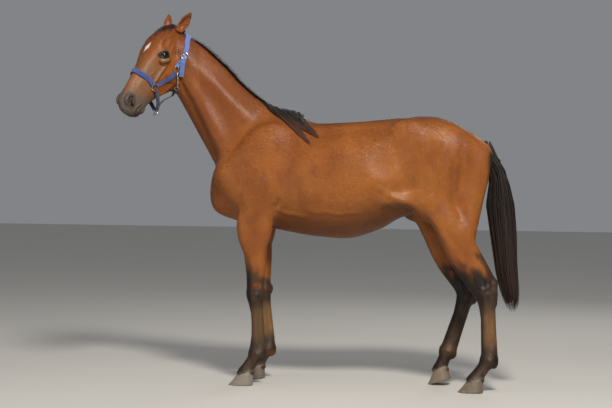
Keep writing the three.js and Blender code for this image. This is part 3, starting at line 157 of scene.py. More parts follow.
def ellipsoid(centre, radii, pitch=0.0, yaw=0.0):
    """The long axis is pitched, its +X end raised, and then yawed, in degrees."""
    cp, sp = math.cos(math.radians(pitch)), math.sin(math.radians(pitch))
    cy, sy = math.cos(math.radians(yaw)), math.sin(math.radians(yaw))
    return oriented_ellipsoid(centre, radii, [[cp * cy, cp * sy, sp], [-sy, cy, 0], [-sp * cy, -sp * sy, cp]])


def rod(start, end, radius_start, radius_end=None):
    radius_end = radius_start if radius_end is None else radius_end
    start, end = np.array(start, float), np.array(end, float)
    run = end - start

    def distance(p):
        rel = p - start
        t = np.clip(rel @ run / (run @ run), 0, 1)
        radius = radius_start + (radius_end - radius_start) * t
        return np.linalg.norm(rel - t[:, None] * run, axis=1) - radius

    return Shape(distance, (start + end) / 2, np.linalg.norm(run) / 2 + max(radius_start, radius_end))


def smooth_min(a, b, k):
    h = np.maximum(k - np.abs(a - b), 0) / k
    return np.minimum(a, b) - h * h * h * k / 6


def add_shapes(d, p, shapes):
    """Distances d with more shapes joined on or cut out, one after another."""
    for shape in shapes:
        other = shape.distance(p)
        d = -smooth_min(-d, other, shape.blend) if shape.cuts else smooth_min(d, other, shape.blend)
    return d


def field(p, shapes):
    return add_shapes(np.full(len(p), FAR_AWAY), p, shapes)


class Shapes:
    """A list of shapes that hands out those near a place, and remembers its answers."""

    def __init__(self, shapes):
        self.shapes, self.known = shapes, {}
        self.centres = np.array([s.centre for s in shapes])
        self.reaches = np.array([s.reach + s.blend for s in shapes])

    def near(self, centre, radius):
        key = (*centre, radius)
        if key not in self.known:
            gap = np.sqrt(((self.centres - centre) ** 2).sum(1)) - self.reaches
            self.known[key] = [self.shapes[i] for i in np.flatnonzero(gap < radius)]
        return self.known[key]


# ---------------- trunk
# Rings across the body: [x, top, bottom, height of the widest level, half width, power above, power below]
TRUNK_RINGS = [
    [-735, 1215, 965, 1080, 60, 2.0, 2.0],
    [-690, 1290, 905, 1070, 118, 2.0, 2.0],
    [-600, 1400, 862, 1060, 158, 1.9, 2.0],
    [-500, 1462, 836, 1045, 186, 1.7, 2.0],
    [-355, 1440, 806, 1035, 214, 1.7, 2.1],
    [-192, 1384, 782, 1045, 246, 1.9, 2.1],
    [-31, 1379, 776, 1055, 262, 2.1, 2.1],
    [134, 1395, 826, 1090, 254, 2.1, 2.1],
    [240, 1409, 886, 1130, 236, 2.1, 2.0],
    [365, 1422, 925, 1180, 222, 2.2, 2.0],
    [470, 1398, 950, 1190, 212, 2.2, 2.0],
    [575, 1350, 985, 1180, 178, 2.2, 2.0],
    [640, 1312, 1040, 1180, 118, 2.1, 2.0],
    [672, 1275, 1120, 1190, 50, 2.0, 2.0],
]


def trunk_shapes():
    rings = [[x, wide, 0, top - wide, wide - bottom, half, above, below]
             for x, top, bottom, wide, half, above, below in TRUNK_RINGS]
    shapes = [
        joined(loft(vec(0, 0, 0), X, Z, rings), 1),
        joined(ellipsoid([-610, 0, 925], [150, 72, 62], -12), 60),              # breastbone
        joined(rod([-520, 0, 1440], [-330, 0, 1412], 30, 24), 50),              # withers
    ]
    for side in (-1, 1):
        def at(x, y, z):
            return mirrored((x, y, z), side)

        def pair(x, y, z, radii, pitch, yaw, blend):
            shapes.append(joined(ellipsoid(at(x, y, z), radii, pitch, yaw * side), blend))

        pair(-520, 112, 1216, [196, 52, 96], 49, -4, 90)           # shoulder blade and its muscles
        pair(-500, 144, 1035, [142, 60, 104], 30, 0, 75)           # triceps
        pair(-648, 106, 1085, [92, 66, 104], 35, 0, 90)             # point of the shoulder
        pair(-698, 50, 1016, [72, 62, 112], -8, 0, 90)             # breast
        pair(440, 112, 1262, [212, 108, 146], -16, 0, 70)          # rump
        pair(284, 168, 1326, [84, 40, 72], 0, 0, 90)               # point of the hip
        pair(600, 84, 1180, [88, 78, 150], 8, 0, 60)               # buttock
        shapes.append(joined(rod(at(-190, 62, 1322), at(230, 66, 1350), 52), 60))          # loin
        # hollow of the flank
        shapes.append(carved(ellipsoid(at(195, 268, 1215), [80, 36, 105], -18), 60))
    return shapes


# ---------------- limbs
# A bone's sections run along it: [share of its length, front, back, half width].
FOREARM = [
    [-0.34, 60, 50, 44], [-0.12, 100, 60, 58], [0.14, 116, 50, 66], [0.33, 98, 48, 57], [0.52, 77, 50, 47],
    [0.64, 67, 48, 42], [0.77, 58, 46, 40], [0.89, 53, 43, 41], [1.0, 48, 44, 42],
]
FORE_CANNON = [
    [0.0, 46, 45, 41], [0.11, 44, 41, 38], [0.25, 36, 39, 29], [0.36, 30, 40, 25.5], [0.53, 29, 42, 24.5],
    [0.7, 31, 44, 26], [0.84, 38, 45, 30], [1.0, 44, 44, 33],
]
PASTERN = [[0.0, 40, 38, 32], [0.45, 35, 34, 29], [0.8, 37, 36, 34], [1.0, 41, 40, 40], [1.25, 41, 40, 42]]
GASKIN = [
    [-0.05, 50, 96, 62], [0.18, 40, 112, 72], [0.36, 51, 116, 66], [0.46, 60, 106, 60], [0.6, 70, 88, 50],
    [0.72, 72, 82, 43], [0.84, 68, 76, 41], [1.0, 62, 50, 40],
]
HIND_CANNON = [
    [-0.04, 58, 44, 38], [0.1, 56, 40, 38], [0.24, 48, 38, 33], [0.4, 42, 39, 28], [0.7, 42, 43, 27],
    [0.9, 42, 46, 32], [1.0, 43, 46, 34],
]

# Where each limb's joints lie: [x, distance from the middle plane, z]. toe_out and sole_tilt are in degrees.
LIMBS = {
    "foreleg_left": dict(side=-1, elbow=[-484, 138, 900], knee=[-506, 124, 482], fetlock=[-495, 124, 168],
                         coronet=[-556, 136, 66], toe_out=14, sole_tilt=0),
    "foreleg_right": dict(side=1, elbow=[-522, 138, 900], knee=[-516, 124, 482], fetlock=[-488, 122, 168],
                          coronet=[-548, 130, 66], toe_out=8, sole_tilt=0),
    "hindleg_left": dict(side=-1, stifle=[398, 158, 958], hock=[688, 126, 528], cannon_top=[711, 125, 500],
                         fetlock=[718, 124, 168], coronet=[648, 132, 66], heel_point=[742, 126, 566],
                         toe_out=8, sole_tilt=0),
    "hindleg_right": dict(side=1, stifle=[292, 158, 955], hock=[585, 124, 527], cannon_top=[598, 124, 492],
                          fetlock=[490, 122, 182], coronet=[450, 126, 82], heel_point=[655, 124, 552],
                          toe_out=8, sole_tilt=17),
}


FORE_FROM_HIND = -60            # the forelegs stand ahead of this x, the hind legs behind it


def bone(start, end, sections):
    span = np.linalg.norm(end - start)
    return loft(start, end, -X, [[share * span, 0, 0, ahead, behind, half, 2.1, 2.1]
                                 for share, ahead, behind, half in sections])


def joints_of(limb):
    return {name: mirrored(value, limb["side"]) for name, value in limb.items() if isinstance(value, list)}


def near(p, side, x, y, z):
    return p + vec(x, y * side, z)


def foot_shapes(fetlock, coronet, side, drop):
    return [
        joined(ellipsoid(fetlock + vec(0, 0, -2), [47, 36, 43], 11), 22),                   # fetlock
        joined(ellipsoid(fetlock + vec(27, 0, drop), [21, 24, 27]), 18),                    # ergot
        joined(bone(fetlock, coronet, PASTERN), 20),
        joined(ellipsoid(coronet + vec(29, 0, 0), [22, 34, 18], -20), 20),                # bulbs of the heel
    ]


def foreleg_shapes(limb):
    side = limb["side"]
    j = joints_of(limb)
    elbow, knee, fetlock = j["elbow"], j["knee"], j["fetlock"]
    return [
        joined(bone(elbow, knee, FOREARM), 60),
        # extensor of the forearm
        joined(ellipsoid(near(elbow, side, -78, 14, -88), [42, 34, 112], 6), 34),
        # flexor of the forearm
        joined(ellipsoid(near(elbow, side, 30, 10, -70), [40, 40, 100], -4), 34),
        joined(ellipsoid(near(elbow, side, 52, 12, 18), [40, 32, 42], 30), 34),             # elbow
        joined(ellipsoid(near(knee, side, -4, 0, -2), [47, 43, 56]), 22),                   # knee
        # bone behind the knee
        joined(ellipsoid(near(knee, side, 36, 2, 12), [20, 19, 28]), 16),
        joined(bone(knee, fetlock, FORE_CANNON), 20),
        *foot_shapes(fetlock, j["coronet"], side, -16),
    ]


def hindleg_shapes(limb):
    side = limb["side"]
    j = joints_of(limb)
    stifle, hock, cannon_top, fetlock, heel = (
        j[name] for name in ("stifle", "hock", "cannon_top", "fetlock", "heel_point"))
    hip_joint = mirrored((470, 118, 1185), side)
    seat = mirrored((652, 72, 1215), side)
    calf = mix(stifle, hock, 0.42)
    thigh_pitch = math.degrees(math.atan2(hip_joint[2] - stifle[2], hip_joint[0] - stifle[0]))
    return [
        joined(ellipsoid(near(mix(hip_joint, stifle, 0.5), side, 6, 6, 10), [205, 82, 120], thigh_pitch), 60),
        joined(ellipsoid(near(stifle, side, -12, 6, -4), [62, 50, 82], 20), 45),            # stifle
        joined(rod(seat, near(calf, side, 66, -14, 40), 74, 62), 70),                       # hamstrings
        # back of the thigh
        joined(ellipsoid(near(mix(seat, calf, 0.45), side, -70, 6, 0), [112, 62, 150]), 60),
        # fold of the flank
        joined(rod(mirrored((200, 196, 985), side), near(stifle, side, 6, 8, 30), 34, 44), 70),
        joined(bone(stifle, hock, GASKIN), 45),
        # tendon to the hock
        joined(rod(near(calf, side, 78, 0, 10), heel, 30, 15), 34),
        # heel bone of the hock
        joined(rod(heel, near(cannon_top, side, 26, 0, -40), 19, 20), 22),
        joined(ellipsoid(near(mix(hock, cannon_top, 0.5), side, -6, 0, -6), [52, 43, 60], 12), 26),   # hock
        joined(bone(cannon_top, fetlock, HIND_CANNON), 26),
        *foot_shapes(fetlock, j["coronet"], side, -18),
    ]


# ---------------- neck
NECK_BASE, NECK_TOP = vec(-540, 0, 1215), vec(-905, 0, 1700)
NECK_AXIS = unit(NECK_TOP - NECK_BASE)
NECK_RISE = unit(vec(1, 0, 1) - NECK_AXIS * np.dot(vec(1, 0, 1), NECK_AXIS))
# [along, crest, throat, level of the widest part, half width, sideways bend]
NECK_RINGS = [
    [-60, 250, 200, -10, 130, 0], [0, 250, 205, -10, 130, 0], [150, 214, 188, -20, 112, -4],
    [250, 188, 172, -20, 99, -14], [350, 166, 150, -18, 87, -30], [450, 158, 126, -12, 78, -50],
    [540, 143, 110, -5, 71, -70], [630, 124, 104, 0, 67, -86], [700, 99, 92, 0, 64, -96],
    [740, 78, 70, 0, 52, -98],
]


def neck_point(s, up, across):
    return NECK_BASE + NECK_AXIS * s + NECK_RISE * up + Y * across


def neck_shapes():
    rings = [[s, wide, bend, crest - wide, throat + wide, half, 1.75, 2.0]
             for s, crest, throat, wide, half, bend in NECK_RINGS]
    shapes = [
        joined(loft(NECK_BASE, NECK_TOP, vec(1, 0, 1), rings), 70),
        joined(rod(neck_point(120, -144, -4), neck_point(580, -92, -72), 50, 42), 60),      # windpipe
    ]
    # the long muscles from the jaw to the arm, with the groove of the vein below them
    for side in (-1, 1):
        lower = neck_point(560, -26, -72 + 40 * side), neck_point(60, -112, 74 * side)
        upper = neck_point(620, 30, -84 + 38 * side), neck_point(190, 84, -8 + 50 * side)
        shapes += [joined(rod(*lower, 28, 46), 80), joined(rod(*upper, 28, 40), 80)]
    return shapes


# ---------------- head
# The head's own frame: s runs down the face from the poll, d towards the front of the face, l to its left.
POLL = vec(-1015, -128, 1908)
FACE_YAW, FACE_DIP, FACE_ROLL = (math.radians(a) for a in (48.5, 55.3, 3))
HEADING = vec(-math.cos(FACE_YAW), -math.sin(FACE_YAW), 0)
FACE_AXIS = HEADING * math.cos(FACE_DIP) - Z * math.sin(FACE_DIP)
LEVEL_FRONT = HEADING * math.sin(FACE_DIP) + Z * math.cos(FACE_DIP)
LEVEL_LEFT = np.cross(Z, HEADING)
FACE_FRONT = LEVEL_FRONT * math.cos(FACE_ROLL) + LEVEL_LEFT * math.sin(FACE_ROLL)
FACE_LEFT = LEVEL_LEFT * math.cos(FACE_ROLL) - LEVEL_FRONT * math.sin(FACE_ROLL)
HEAD_AXES = np.array([FACE_AXIS, FACE_FRONT, FACE_LEFT])

# [down the face, face line, widest level, jaw line, half width, power in front, power behind]
HEAD_RINGS = [
    [-24, -46, -96, -166, 42, 2.0, 2.0], [18, -12, -84, -204, 64, 2.2, 2.0],
    [74, 13, -65, -233, 76, 2.3, 2.0],
    [139, 27, -54, -267, 81, 2.4, 2.1], [185, 25, -56, -274, 80, 2.5, 2.1],
    [240, 16, -74, -258, 70, 2.5, 2.1],
    [305, 7, -85, -220, 58, 2.4, 2.1], [370, 1, -83, -184, 49, 2.3, 2.1], [416, -1, -78, -167, 47, 2.3, 2.1],
    [462, -2, -76, -158, 48, 2.3, 2.1], [500, -12, -78, -148, 46, 2.2, 2.1],
    [526, -40, -86, -130, 33, 2.0, 2.0],
]


def head_point(s, d, l):
    return POLL + FACE_AXIS * s + FACE_FRONT * d + FACE_LEFT * l


def in_head(centre, radii):
    return oriented_ellipsoid(head_point(*centre), radii, HEAD_AXES)


def eye_centre(l):
    return head_point(175, -52, 75 * l)


def head_shapes():
    rings = [[s, wide, 0, face - wide, wide - jaw, half, front, back]
             for s, face, wide, jaw, half, front, back in HEAD_RINGS]
    shapes = [
        joined(loft(POLL, head_point(1, 0, 0), FACE_FRONT, rings), 30),
        joined(in_head([506, -78, 0], [29, 50, 42]), 22),                                   # upper lip
        joined(in_head([492, -130, 0], [30, 25, 34]), 16),                                  # lower lip
        joined(in_head([462, -152, 0], [27, 18, 28]), 18),                                  # chin
    ]
    for l in (-1, 1):
        shapes += [
            joined(in_head([155, -157, 56 * l], [98, 110, 30]), 34),                        # cheek
            joined(in_head([173, -49, 68 * l], [36, 33, 29]), 26),                          # eye socket
            joined(in_head([128, -22, 55 * l], [46, 26, 22]), 30),                          # temple
            # cheek bone
            joined(rod(head_point(184, -94, 76 * l), head_point(306, -106, 53 * l), 9, 6), 22),
            joined(in_head([474, -42, 39 * l], [36, 32, 18]), 20),                          # nostril wing
            joined(rod(head_point(130, -246, 40 * l), head_point(330, -186, 30 * l), 14, 9), 34),   # jaw bone
            carved(in_head([480, -46, 60 * l], [20, 12, 10]), 10),                          # nostril
            # hollow above the eye
            carved(in_head([106, -24, 80 * l], [24, 12, 9]), 18),
        ]
    return shapes


# ---------------- ears
EAR_OUTSIDE = [[0, 24, 24], [0.25, 27, 27], [0.5, 27, 27], [0.72, 22, 20], [0.88, 13, 11], [1.0, 3.5, 3]]
EAR_INSIDE = [[0.12, 8, 9], [0.3, 19, 17], [0.5, 21, 18], [0.72, 16, 13], [0.92, 7, 4]]


def ear_root(l):
    return head_point(6, -66, 54 * l)


def ear_tip(l):
    return head_point(-112, -44, 104 * l)


def ear_shapes(l):
    root, tip = ear_root(l), ear_tip(l)
    opening = unit(FACE_LEFT * l + FACE_FRONT * 0.25 + FACE_AXIS * 0.35)
    span = np.linalg.norm(tip - root)
    outside = [[share * span, 0, 0, deep, deep, half, 2, 2] for share, deep, half in EAR_OUTSIDE]
    inside = [[share * span, 14, 0, deep, deep, half, 2, 2] for share, deep, half in EAR_INSIDE]
    return [joined(loft(root, tip, opening, outside), 14), carved(loft(root, tip, opening, inside), 6)]


# ---------------- tail and the whole flesh
def dock_shapes():
    return [
        joined(rod([600, 0, 1292], [668, 0, 1264], 52, 34), 40),
        joined(rod([668, 0, 1264], [738, 0, 1186], 30, 22), 30),
        joined(rod([738, 0, 1186], [770, 0, 1060], 22, 15), 24),
        joined(rod([770, 0, 1060], [780, 0, 960], 15, 9), 20),
    ]


FLESH = [
    *trunk_shapes(),
    *hindleg_shapes(LIMBS["hindleg_left"]),
    *hindleg_shapes(LIMBS["hindleg_right"]),
    *foreleg_shapes(LIMBS["foreleg_left"]),
    *foreleg_shapes(LIMBS["foreleg_right"]),
    *neck_shapes(),
    *head_shapes(),
    *ear_shapes(1),
    *ear_shapes(-1),
    *dock_shapes(),
]


# ---------------- evaluating fields block by block
BLOCK = 96.0
BLOCK_REACH = BLOCK * 0.9       # from a block's middle to past its corners
MOST_BLOCKS = 4096              # along one axis
POOL = ThreadPoolExecutor(4)


def by_block(points, job):
    """Runs job(points, centre, reach) on the points of each block of space, and puts the results in order."""
    keys = np.floor(points / BLOCK).astype(np.int64)
    code = (keys[:, 0] * MOST_BLOCKS + keys[:, 1]) * MOST_BLOCKS + keys[:, 2]
    order = np.argsort(code, kind="stable")
    cuts = np.flatnonzero(np.diff(code[order])) + 1
    groups = np.split(order, cuts)

    def run(group):
        centre = (keys[group[0]] + 0.5) * BLOCK
        return job(points[group], centre, BLOCK_REACH)

    results = list(POOL.map(run, groups))
    out = np.empty((len(points),) + results[0].shape[1:])
    for group, result in zip(groups, results):
        out[group] = result
    return out


TETRA = np.array([[1, -1, -1], [-1, -1, 1], [-1, 1, -1], [1, 1, 1]], float)


def value_and_slope(p, centre, reach, distance, step=0.8):
    around = (p + TETRA[:, None] * step).reshape(-1, 3)
    values = distance(around, centre, reach).reshape(4, -1)
    return np.column_stack([values.mean(0), values.T @ TETRA / (4 * step)])


def height_and_normal(points, distance):
    """How far points lie outside a surface, and the way out from it."""
    found = by_block(points, lambda p, c, r: value_and_slope(p, c, r, distance))
    return found[:, 0], unit(found[:, 1:] + 1e-9)


def settle(points, distance, rounds=2):
    """Moves points straight out or in until they lie on the zero surface; returns them with their normals."""
    for _ in range(rounds):
        found = by_block(points, lambda p, c, r: value_and_slope(p, c, r, distance))
        value, slope = found[:, 0], found[:, 1:]
        steep = np.maximum((slope ** 2).sum(1), 0.15)
        move = slope * (value / steep)[:, None]
        length = np.linalg.norm(move, axis=1, keepdims=True)
        points = points - move * np.minimum(1, 6 / np.maximum(length, 1e-6))
    return points, height_and_normal(points, distance)[1]


FLESH_SHAPES = Shapes(FLESH)


def flesh_height(p, centre, reach):
    return field(p, FLESH_SHAPES.near(centre, reach))


# ---------------- finer relief that only the skin carries
def head_line(points, radius, blend, cut=False):
    """A chain of slim rods through points of the head's frame: a fold or a crease."""
    make = carved if cut else joined
    spots = [head_point(*p) for p in points]
    radii = radius if isinstance(radius, (list, tuple)) else [radius] * len(spots)
    return [make(rod(a, b, ra, rb), blend) for a, b, ra, rb in zip(spots, spots[1:], radii, radii[1:])]


NOSTRIL_LINE = [(462, -37, 57), (472, -34, 53), (484, -41, 48), (492, -53, 44), (494, -66, 42)]
HALF_MOUTH = [(424, -122, 47), (446, -119, 46), (470, -117, 42), (494, -113, 34), (512, -109, 20),
              (519, -108, 0)]
MOUTH = HALF_MOUTH + [(s, d, -l) for s, d, l in HALF_MOUTH[-2::-1]]
MANE_STATIONS = [
    (-40, 236, 0), (90, 218, -4), (215, 196, -11), (300, 176, -22), (400, 162, -40), (500, 148, -61),
    (580, 134, -77),
    (650, 118, -88), (700, 98, -94),
]
CREST_LINE = [neck_point(*station) for station in MANE_STATIONS]
LID_THICKNESS = 2.6
EYE_SLANT = math.radians(44)         # the opening turns this far from the line of the face
EYE_LENGTH, EYE_HEIGHT = 20.5, 12.5     # half the opening between the lids


def eye_frame(l):
    """Along the opening towards the nose, up to the brow, and out of the socket."""
    out = unit(FACE_LEFT * l + FACE_FRONT * 0.16 - FACE_AXIS * 0.02)
    along = unit(FACE_AXIS * math.cos(EYE_SLANT) + FACE_FRONT * math.sin(EYE_SLANT))
    along = unit(along - out * np.dot(along, out))
    return along, np.cross(out, along) * l, out


def lid_opening(l):
    """The almond between the lids, a prism along the way the eye looks."""
    along, brow, out = eye_frame(l)
    centre = eye_centre(l) + out * EYE_RADIUS

    def distance(p):
        rel = p - centre
        a, b, c = rel @ along, rel @ brow, rel @ out
        share = np.clip(np.abs(a) / EYE_LENGTH, 0, 1)
        upper = EYE_HEIGHT * (1 - share ** 2.2)
        lower = -EYE_HEIGHT * 0.8 * (1 - share ** 1.8)
        across = np.where(b > (upper + lower) / 2, b - upper, lower - b)
        return np.maximum(np.maximum(across * 0.85, np.abs(a) - EYE_LENGTH), np.abs(c) - 20)

    return Shape(distance, centre, 30)


def ball(centre, radius):
    return oriented_ellipsoid(centre, [radius] * 3, np.eye(3))


def nostril_cut(l):
    """The comma of the nostril, its long curve running up the outside of the muzzle."""
    return head_line([(s, d, across * l) for s, d, across in NOSTRIL_LINE], [2.5, 6, 8.5, 8.5, 5], 6,
                     cut=True)


def nostril_rim(l):
    inner = [(468, -24, 43), (482, -24, 38), (496, -36, 33), (503, -54, 31)]
    outer = [(458, -46, 58), (470, -50, 58), (482, -60, 55), (490, -72, 50)]
    return [*head_line([(s, d, across * l) for s, d, across in inner], 7, 12),
            *head_line([(s, d, across * l) for s, d, across in outer], 6, 12)]


def mouth_cut():
    """The slit between the lips, from one corner round the front to the other."""
    return head_line(MOUTH, [2.4, 3.2, 3.2, 3.2, 3.4, 3.4, 3.4, 3.2, 3.2, 3.2, 2.4], 5, cut=True)


def lid_folds(l):
    """A heavy upper lid with its crease, a thin lower one, and the bony brow over them."""
    along, brow, out = eye_frame(l)
    centre = eye_centre(l)

    def spot(a, b, c):
        return centre + along * a + brow * b + out * c

    def chain(points, radius, blend, make):
        spots = [spot(*p) for p in points]
        return [make(rod(a, b, radius, radius), blend) for a, b in zip(spots, spots[1:])]

    upper = [(-24, 3, 14), (-16, 12, 18), (-4, 15.5, 19.5), (10, 13.5, 18.5), (22, 5, 14)]
    lower = [(-22, -3, 14), (-12, -11, 18), (4, -13, 18.5), (18, -8, 16), (27, -2, 12)]
    crease = [(-21, 12, 20), (-12, 19.5, 22), (2, 22, 22.5), (15, 18.5, 21)]
    below = [(-15, -17, 20), (-1, -20, 21), (14, -17, 19)]
    brow_bone = [(-24, 24, 8), (-10, 31, 11), (8, 32, 11), (22, 27, 7)]
    return [
        *chain(brow_bone, 8, 22, joined), *chain(upper, 3.6, 9, joined), *chain(lower, 2.6, 10, joined),
        *chain(crease, 1.2, 5, carved), *chain(below, 0.9, 5, carved),
    ]


def on_sides(points):
    """The same line on the left and on the right of the body."""
    return [[(x, y * side, z) for x, y, z in points] for side in (-1, 1)]


def head_line_at(points, side=1):
    """Points of the head's frame, on its left at 1 and on its right at -1."""
    return [head_point(s, d, l * side) for s, d, l in points]


def head_sides(points):
    return [head_line_at(points, side) for side in (-1, 1)]


def neck_sides(points):
    return [[neck_point(s, up, bend + out * side) for s, up, bend, out in points] for side in (-1, 1)]


BODY_RELIEF = [          # points, half width, height
    # spine of the shoulder blade
    (on_sides([(-470, 120, 1400), (-560, 150, 1290), (-650, 150, 1170)]), 30, 5),
    (on_sides([(-540, 120, 1400), (-610, 140, 1290), (-690, 130, 1170)]), 26, -5),       # before the shoulder
    # behind the shoulder
    (on_sides([(-330, 150, 1330), (-322, 190, 1220), (-334, 210, 1110), (-370, 210, 1000)]), 36, -5),
    (on_sides([(-372, 200, 985), (-392, 190, 925)]), 16, -9),                            # behind the elbow
    (on_sides([(-392, 180, 935), (-320, 200, 895), (-240, 210, 885)]), 14, 4),           # fold from the elbow
    # between shoulder and arm
    (on_sides([(-560, 190, 1120), (-600, 180, 1010), (-590, 170, 930)]), 24, -5),
    # belly of the triceps
    (on_sides([(-470, 190, 1110), (-440, 190, 1000)]), 34, 5),
    (on_sides([(-240, 220, 930), (-60, 230, 905), (90, 220, 925)]), 14, 2.2),             # spur vein
    (on_sides([(330, 190, 950), (250, 225, 985), (170, 235, 1035), (110, 240, 1050)]), [22, 20, 18, 10],
     [9, 9, 6, 1]),
    (on_sides([(238, 210, 1260), (262, 220, 1130), (300, 210, 1010)]), 26, -7),          # before the thigh
    # front edge of the thigh
    (on_sides([(300, 180, 1320), (318, 200, 1180), (352, 200, 1030)]), 24, 6),
    # between the thigh muscles
    (on_sides([(392, 190, 1320), (418, 205, 1180), (430, 205, 1040)]), 22, -4.5),
    (on_sides([(470, 180, 1320), (490, 205, 1190), (500, 200, 1040), (500, 190, 930)]), 26, 4),
    (on_sides([(560, 170, 1290), (570, 190, 1150), (560, 180, 1010)]), 22, -4),
    (on_sides([(640, 110, 1215), (668, 90, 1180)]), 34, 4),                              # seat bone
    (on_sides([(440, 150, 1352), (470, 150, 1330)]), 40, 3),                             # over the hip joint
    # between calf and tendon
    (on_sides([(470, 190, 860), (600, 160, 690)]), 18, -4),
]
NECK_RELIEF = [
    # groove of the neck vein
    (neck_sides([(640, -52, -88, 40), (520, -78, -66, 56), (360, -104, -36, 72), (200, -128, -10, 80),
                 (80, -150, 0, 74)]),
     [12, 18, 24, 28, 30], [-3, -5, -5, -5, -4]),
    (neck_sides([(560, 60, -76, 60), (420, 50, -46, 84), (260, 30, -10, 104)]), 30, -2.5),
]
HEAD_RELIEF = [
    # bony crest of the face
    (head_sides([(190, -95, 84), (226, -98, 78), (266, -102, 70), (312, -108, 58)]), 10, 4.5),
    (head_sides([(196, -108, 84), (240, -114, 78), (290, -118, 66)]), 9, -2.5),
    # front edge of the cheek muscle
    (head_sides([(250, -126, 80), (270, -160, 72), (266, -200, 58)]), 15, -4),
    (head_sides([(236, -76, 80), (280, -66, 70), (330, -56, 58), (372, -54, 54)]), 6, 2),
    (head_sides([(288, -88, 66), (310, -70, 62), (340, -60, 58)]), 4.5, 1.6),
    (head_sides([(290, -98, 66), (332, -112, 58), (378, -116, 54)]), 5.5, 2),
    (head_sides([(120, -184, 92), (180, -226, 84), (250, -226, 66)]), 6, 1.8),
    # beside the nose bone
    (head_sides([(300, -20, 46), (360, -24, 42), (420, -22, 44)]), 16, -3),
    (head_sides([(84, -92, 86), (112, -106, 88), (134, -112, 88)]), 11, -3.5),           # behind the eye
    (head_sides([(78, -66, 84), (112, -76, 88), (140, -78, 90)]), 9, 3),
    # edge of the forehead
    (head_sides([(40, 0, 34), (90, 20, 40), (130, 22, 46)]), 14, 3),
    (head_sides([(452, -104, 50), (470, -88, 52), (488, -84, 48)]), 8, -2.4),
    (head_sides([(430, -134, 46), (446, -140, 42), (458, -136, 40)]), 6, 2),
]


def limb_relief(limb, fore):
    """Tendons, the groove before them, and the bony points of the lower limb."""
    side = limb["side"]
    j = joints_of(limb)
    top = j["knee"] if fore else j["cannon_top"]
    fetlock = j["fetlock"]
    lines = []
    for face in (-1, 1):
        wide = vec(0, 40 * face, 0)
        lines.append(([mix(top, fetlock, 0.2) + vec(14, 0, 0) + wide,
                       mix(top, fetlock, 0.5) + vec(12, 0, 0) + wide,
                       mix(top, fetlock, 0.82) + vec(14, 0, 0) + wide], 9, -3.5))
        lines.append(([mix(top, fetlock, 0.3) + vec(30, 0, 0) + wide,
                       mix(top, fetlock, 0.8) + vec(32, 0, 0) + wide], 7, 1.6))
        lines.append(([fetlock + vec(-8, 50 * face, 4), fetlock + vec(8, 50 * face, 12)], 13, 3))
    if fore:
        elbow = j["elbow"]
        for face in (-1, 1):
            lines.append(([top + vec(-26, 50 * face, 26), top + vec(-10, 50 * face, 20)], 13, 3))
            lines.append(([top + vec(-24, 50 * face, -24), top + vec(-8, 50 * face, -28)], 13, 3))
        lines.append(([top + vec(-70, -20, 2), top + vec(-70, 20, 2)], 11, -2.5))
        lines.append(([near(elbow, side, -30, 80, -60), near(top, side, -22, 70, 150)], 14, -4))
        lines.append(([near(top, side, 6, -70, 132), near(top, side, 8, -70, 152)], 11, 3.5))
    else:
        hock = j["hock"]
        for face in (-1, 1):
            lines.append(([hock + vec(-14, 60 * face, 0), hock + vec(0, 60 * face, 16)], 17, 4))
            lines.append(([hock + vec(8, 60 * face, 96), hock + vec(24, 60 * face, 50),
                           hock + vec(26, 60 * face, 10)], 11, -5))
        lines.append(([near(hock, side, -30, -60, 130), near(hock, side, -30, -60, 40),
                       near(hock, side, -20, -60, -50)], 8, 2.5))
    return [([points], half_width, height) for points, half_width, height in lines]


RELIEF = [
    (line, half_width, height)
    for lines, half_width, height in (
        *BODY_RELIEF, *NECK_RELIEF, *HEAD_RELIEF,
        *(line for name, limb in LIMBS.items() for line in limb_relief(limb, name.startswith("fore"))),
    ) for line in lines
]


def stations(line, spacing):
    """Points and shares along a line, about this far apart."""
    run = np.append(0, np.cumsum(np.linalg.norm(np.diff(line, axis=0), axis=1)))
    share = np.linspace(0, 1, max(5, int(run[-1] / spacing)))
    return np.column_stack([np.interp(share * run[-1], run, column) for column in line.T]), share


def with_relief(points, normals):
    """The skin drawn out into soft ridges and in to furrows beside lines laid on it, except at the lids."""
    tree = KDTree(len(points))
    for i, point in enumerate(points):
        tree.insert(point, i)
    tree.balance()
    shift = np.zeros(len(points))
    for line, half_width, height in RELIEF:
        laid, _ = stations(np.asarray(line, float), 14)
        laid = np.array([tree.find(point)[0] for point in laid])
        for _ in range(3):
            laid[1:-1] = (laid[:-2] + 2 * laid[1:-1] + laid[2:]) / 4
        path, share = stations(laid, 3)
        wide, tall = (np.interp(share, np.linspace(0, 1, np.size(v)), np.atleast_1d(v))
                      for v in (half_width, height))
        wide, tall = wide * 1.4, tall * (0.1 + 0.9 * np.sin(math.pi * share) ** 0.6)
        low, high = path.min(0) - wide.max(), path.max(0) + wide.max()
        beside = np.flatnonzero(((points > low) & (points < high)).all(1))
        gap = np.linalg.norm(points[beside, None] - path, axis=2)
        at = gap.argmin(1)
        across = np.clip(gap[np.arange(len(beside)), at] / wide[at], 0, 1)
        shift[beside] += tall[at] * (1 - across ** 2) ** 2
    for l in (-1, 1):
        shift *= smooth(np.linalg.norm(points - eye_centre(l), axis=1), 30, 42)
    return points + normals * shift[:, None]


FLESH_UNDER_SKIN = Shapes([
    *FLESH, *nostril_rim(1), *nostril_rim(-1), *mouth_cut(), *nostril_cut(1), *nostril_cut(-1),
])
LIDS = Shapes([shape for l in (-1, 1) for shape in (
    joined(ball(eye_centre(l), EYE_RADIUS + LID_THICKNESS), 9),
    *lid_folds(l),
    carved(lid_opening(l), 2.2),
)])


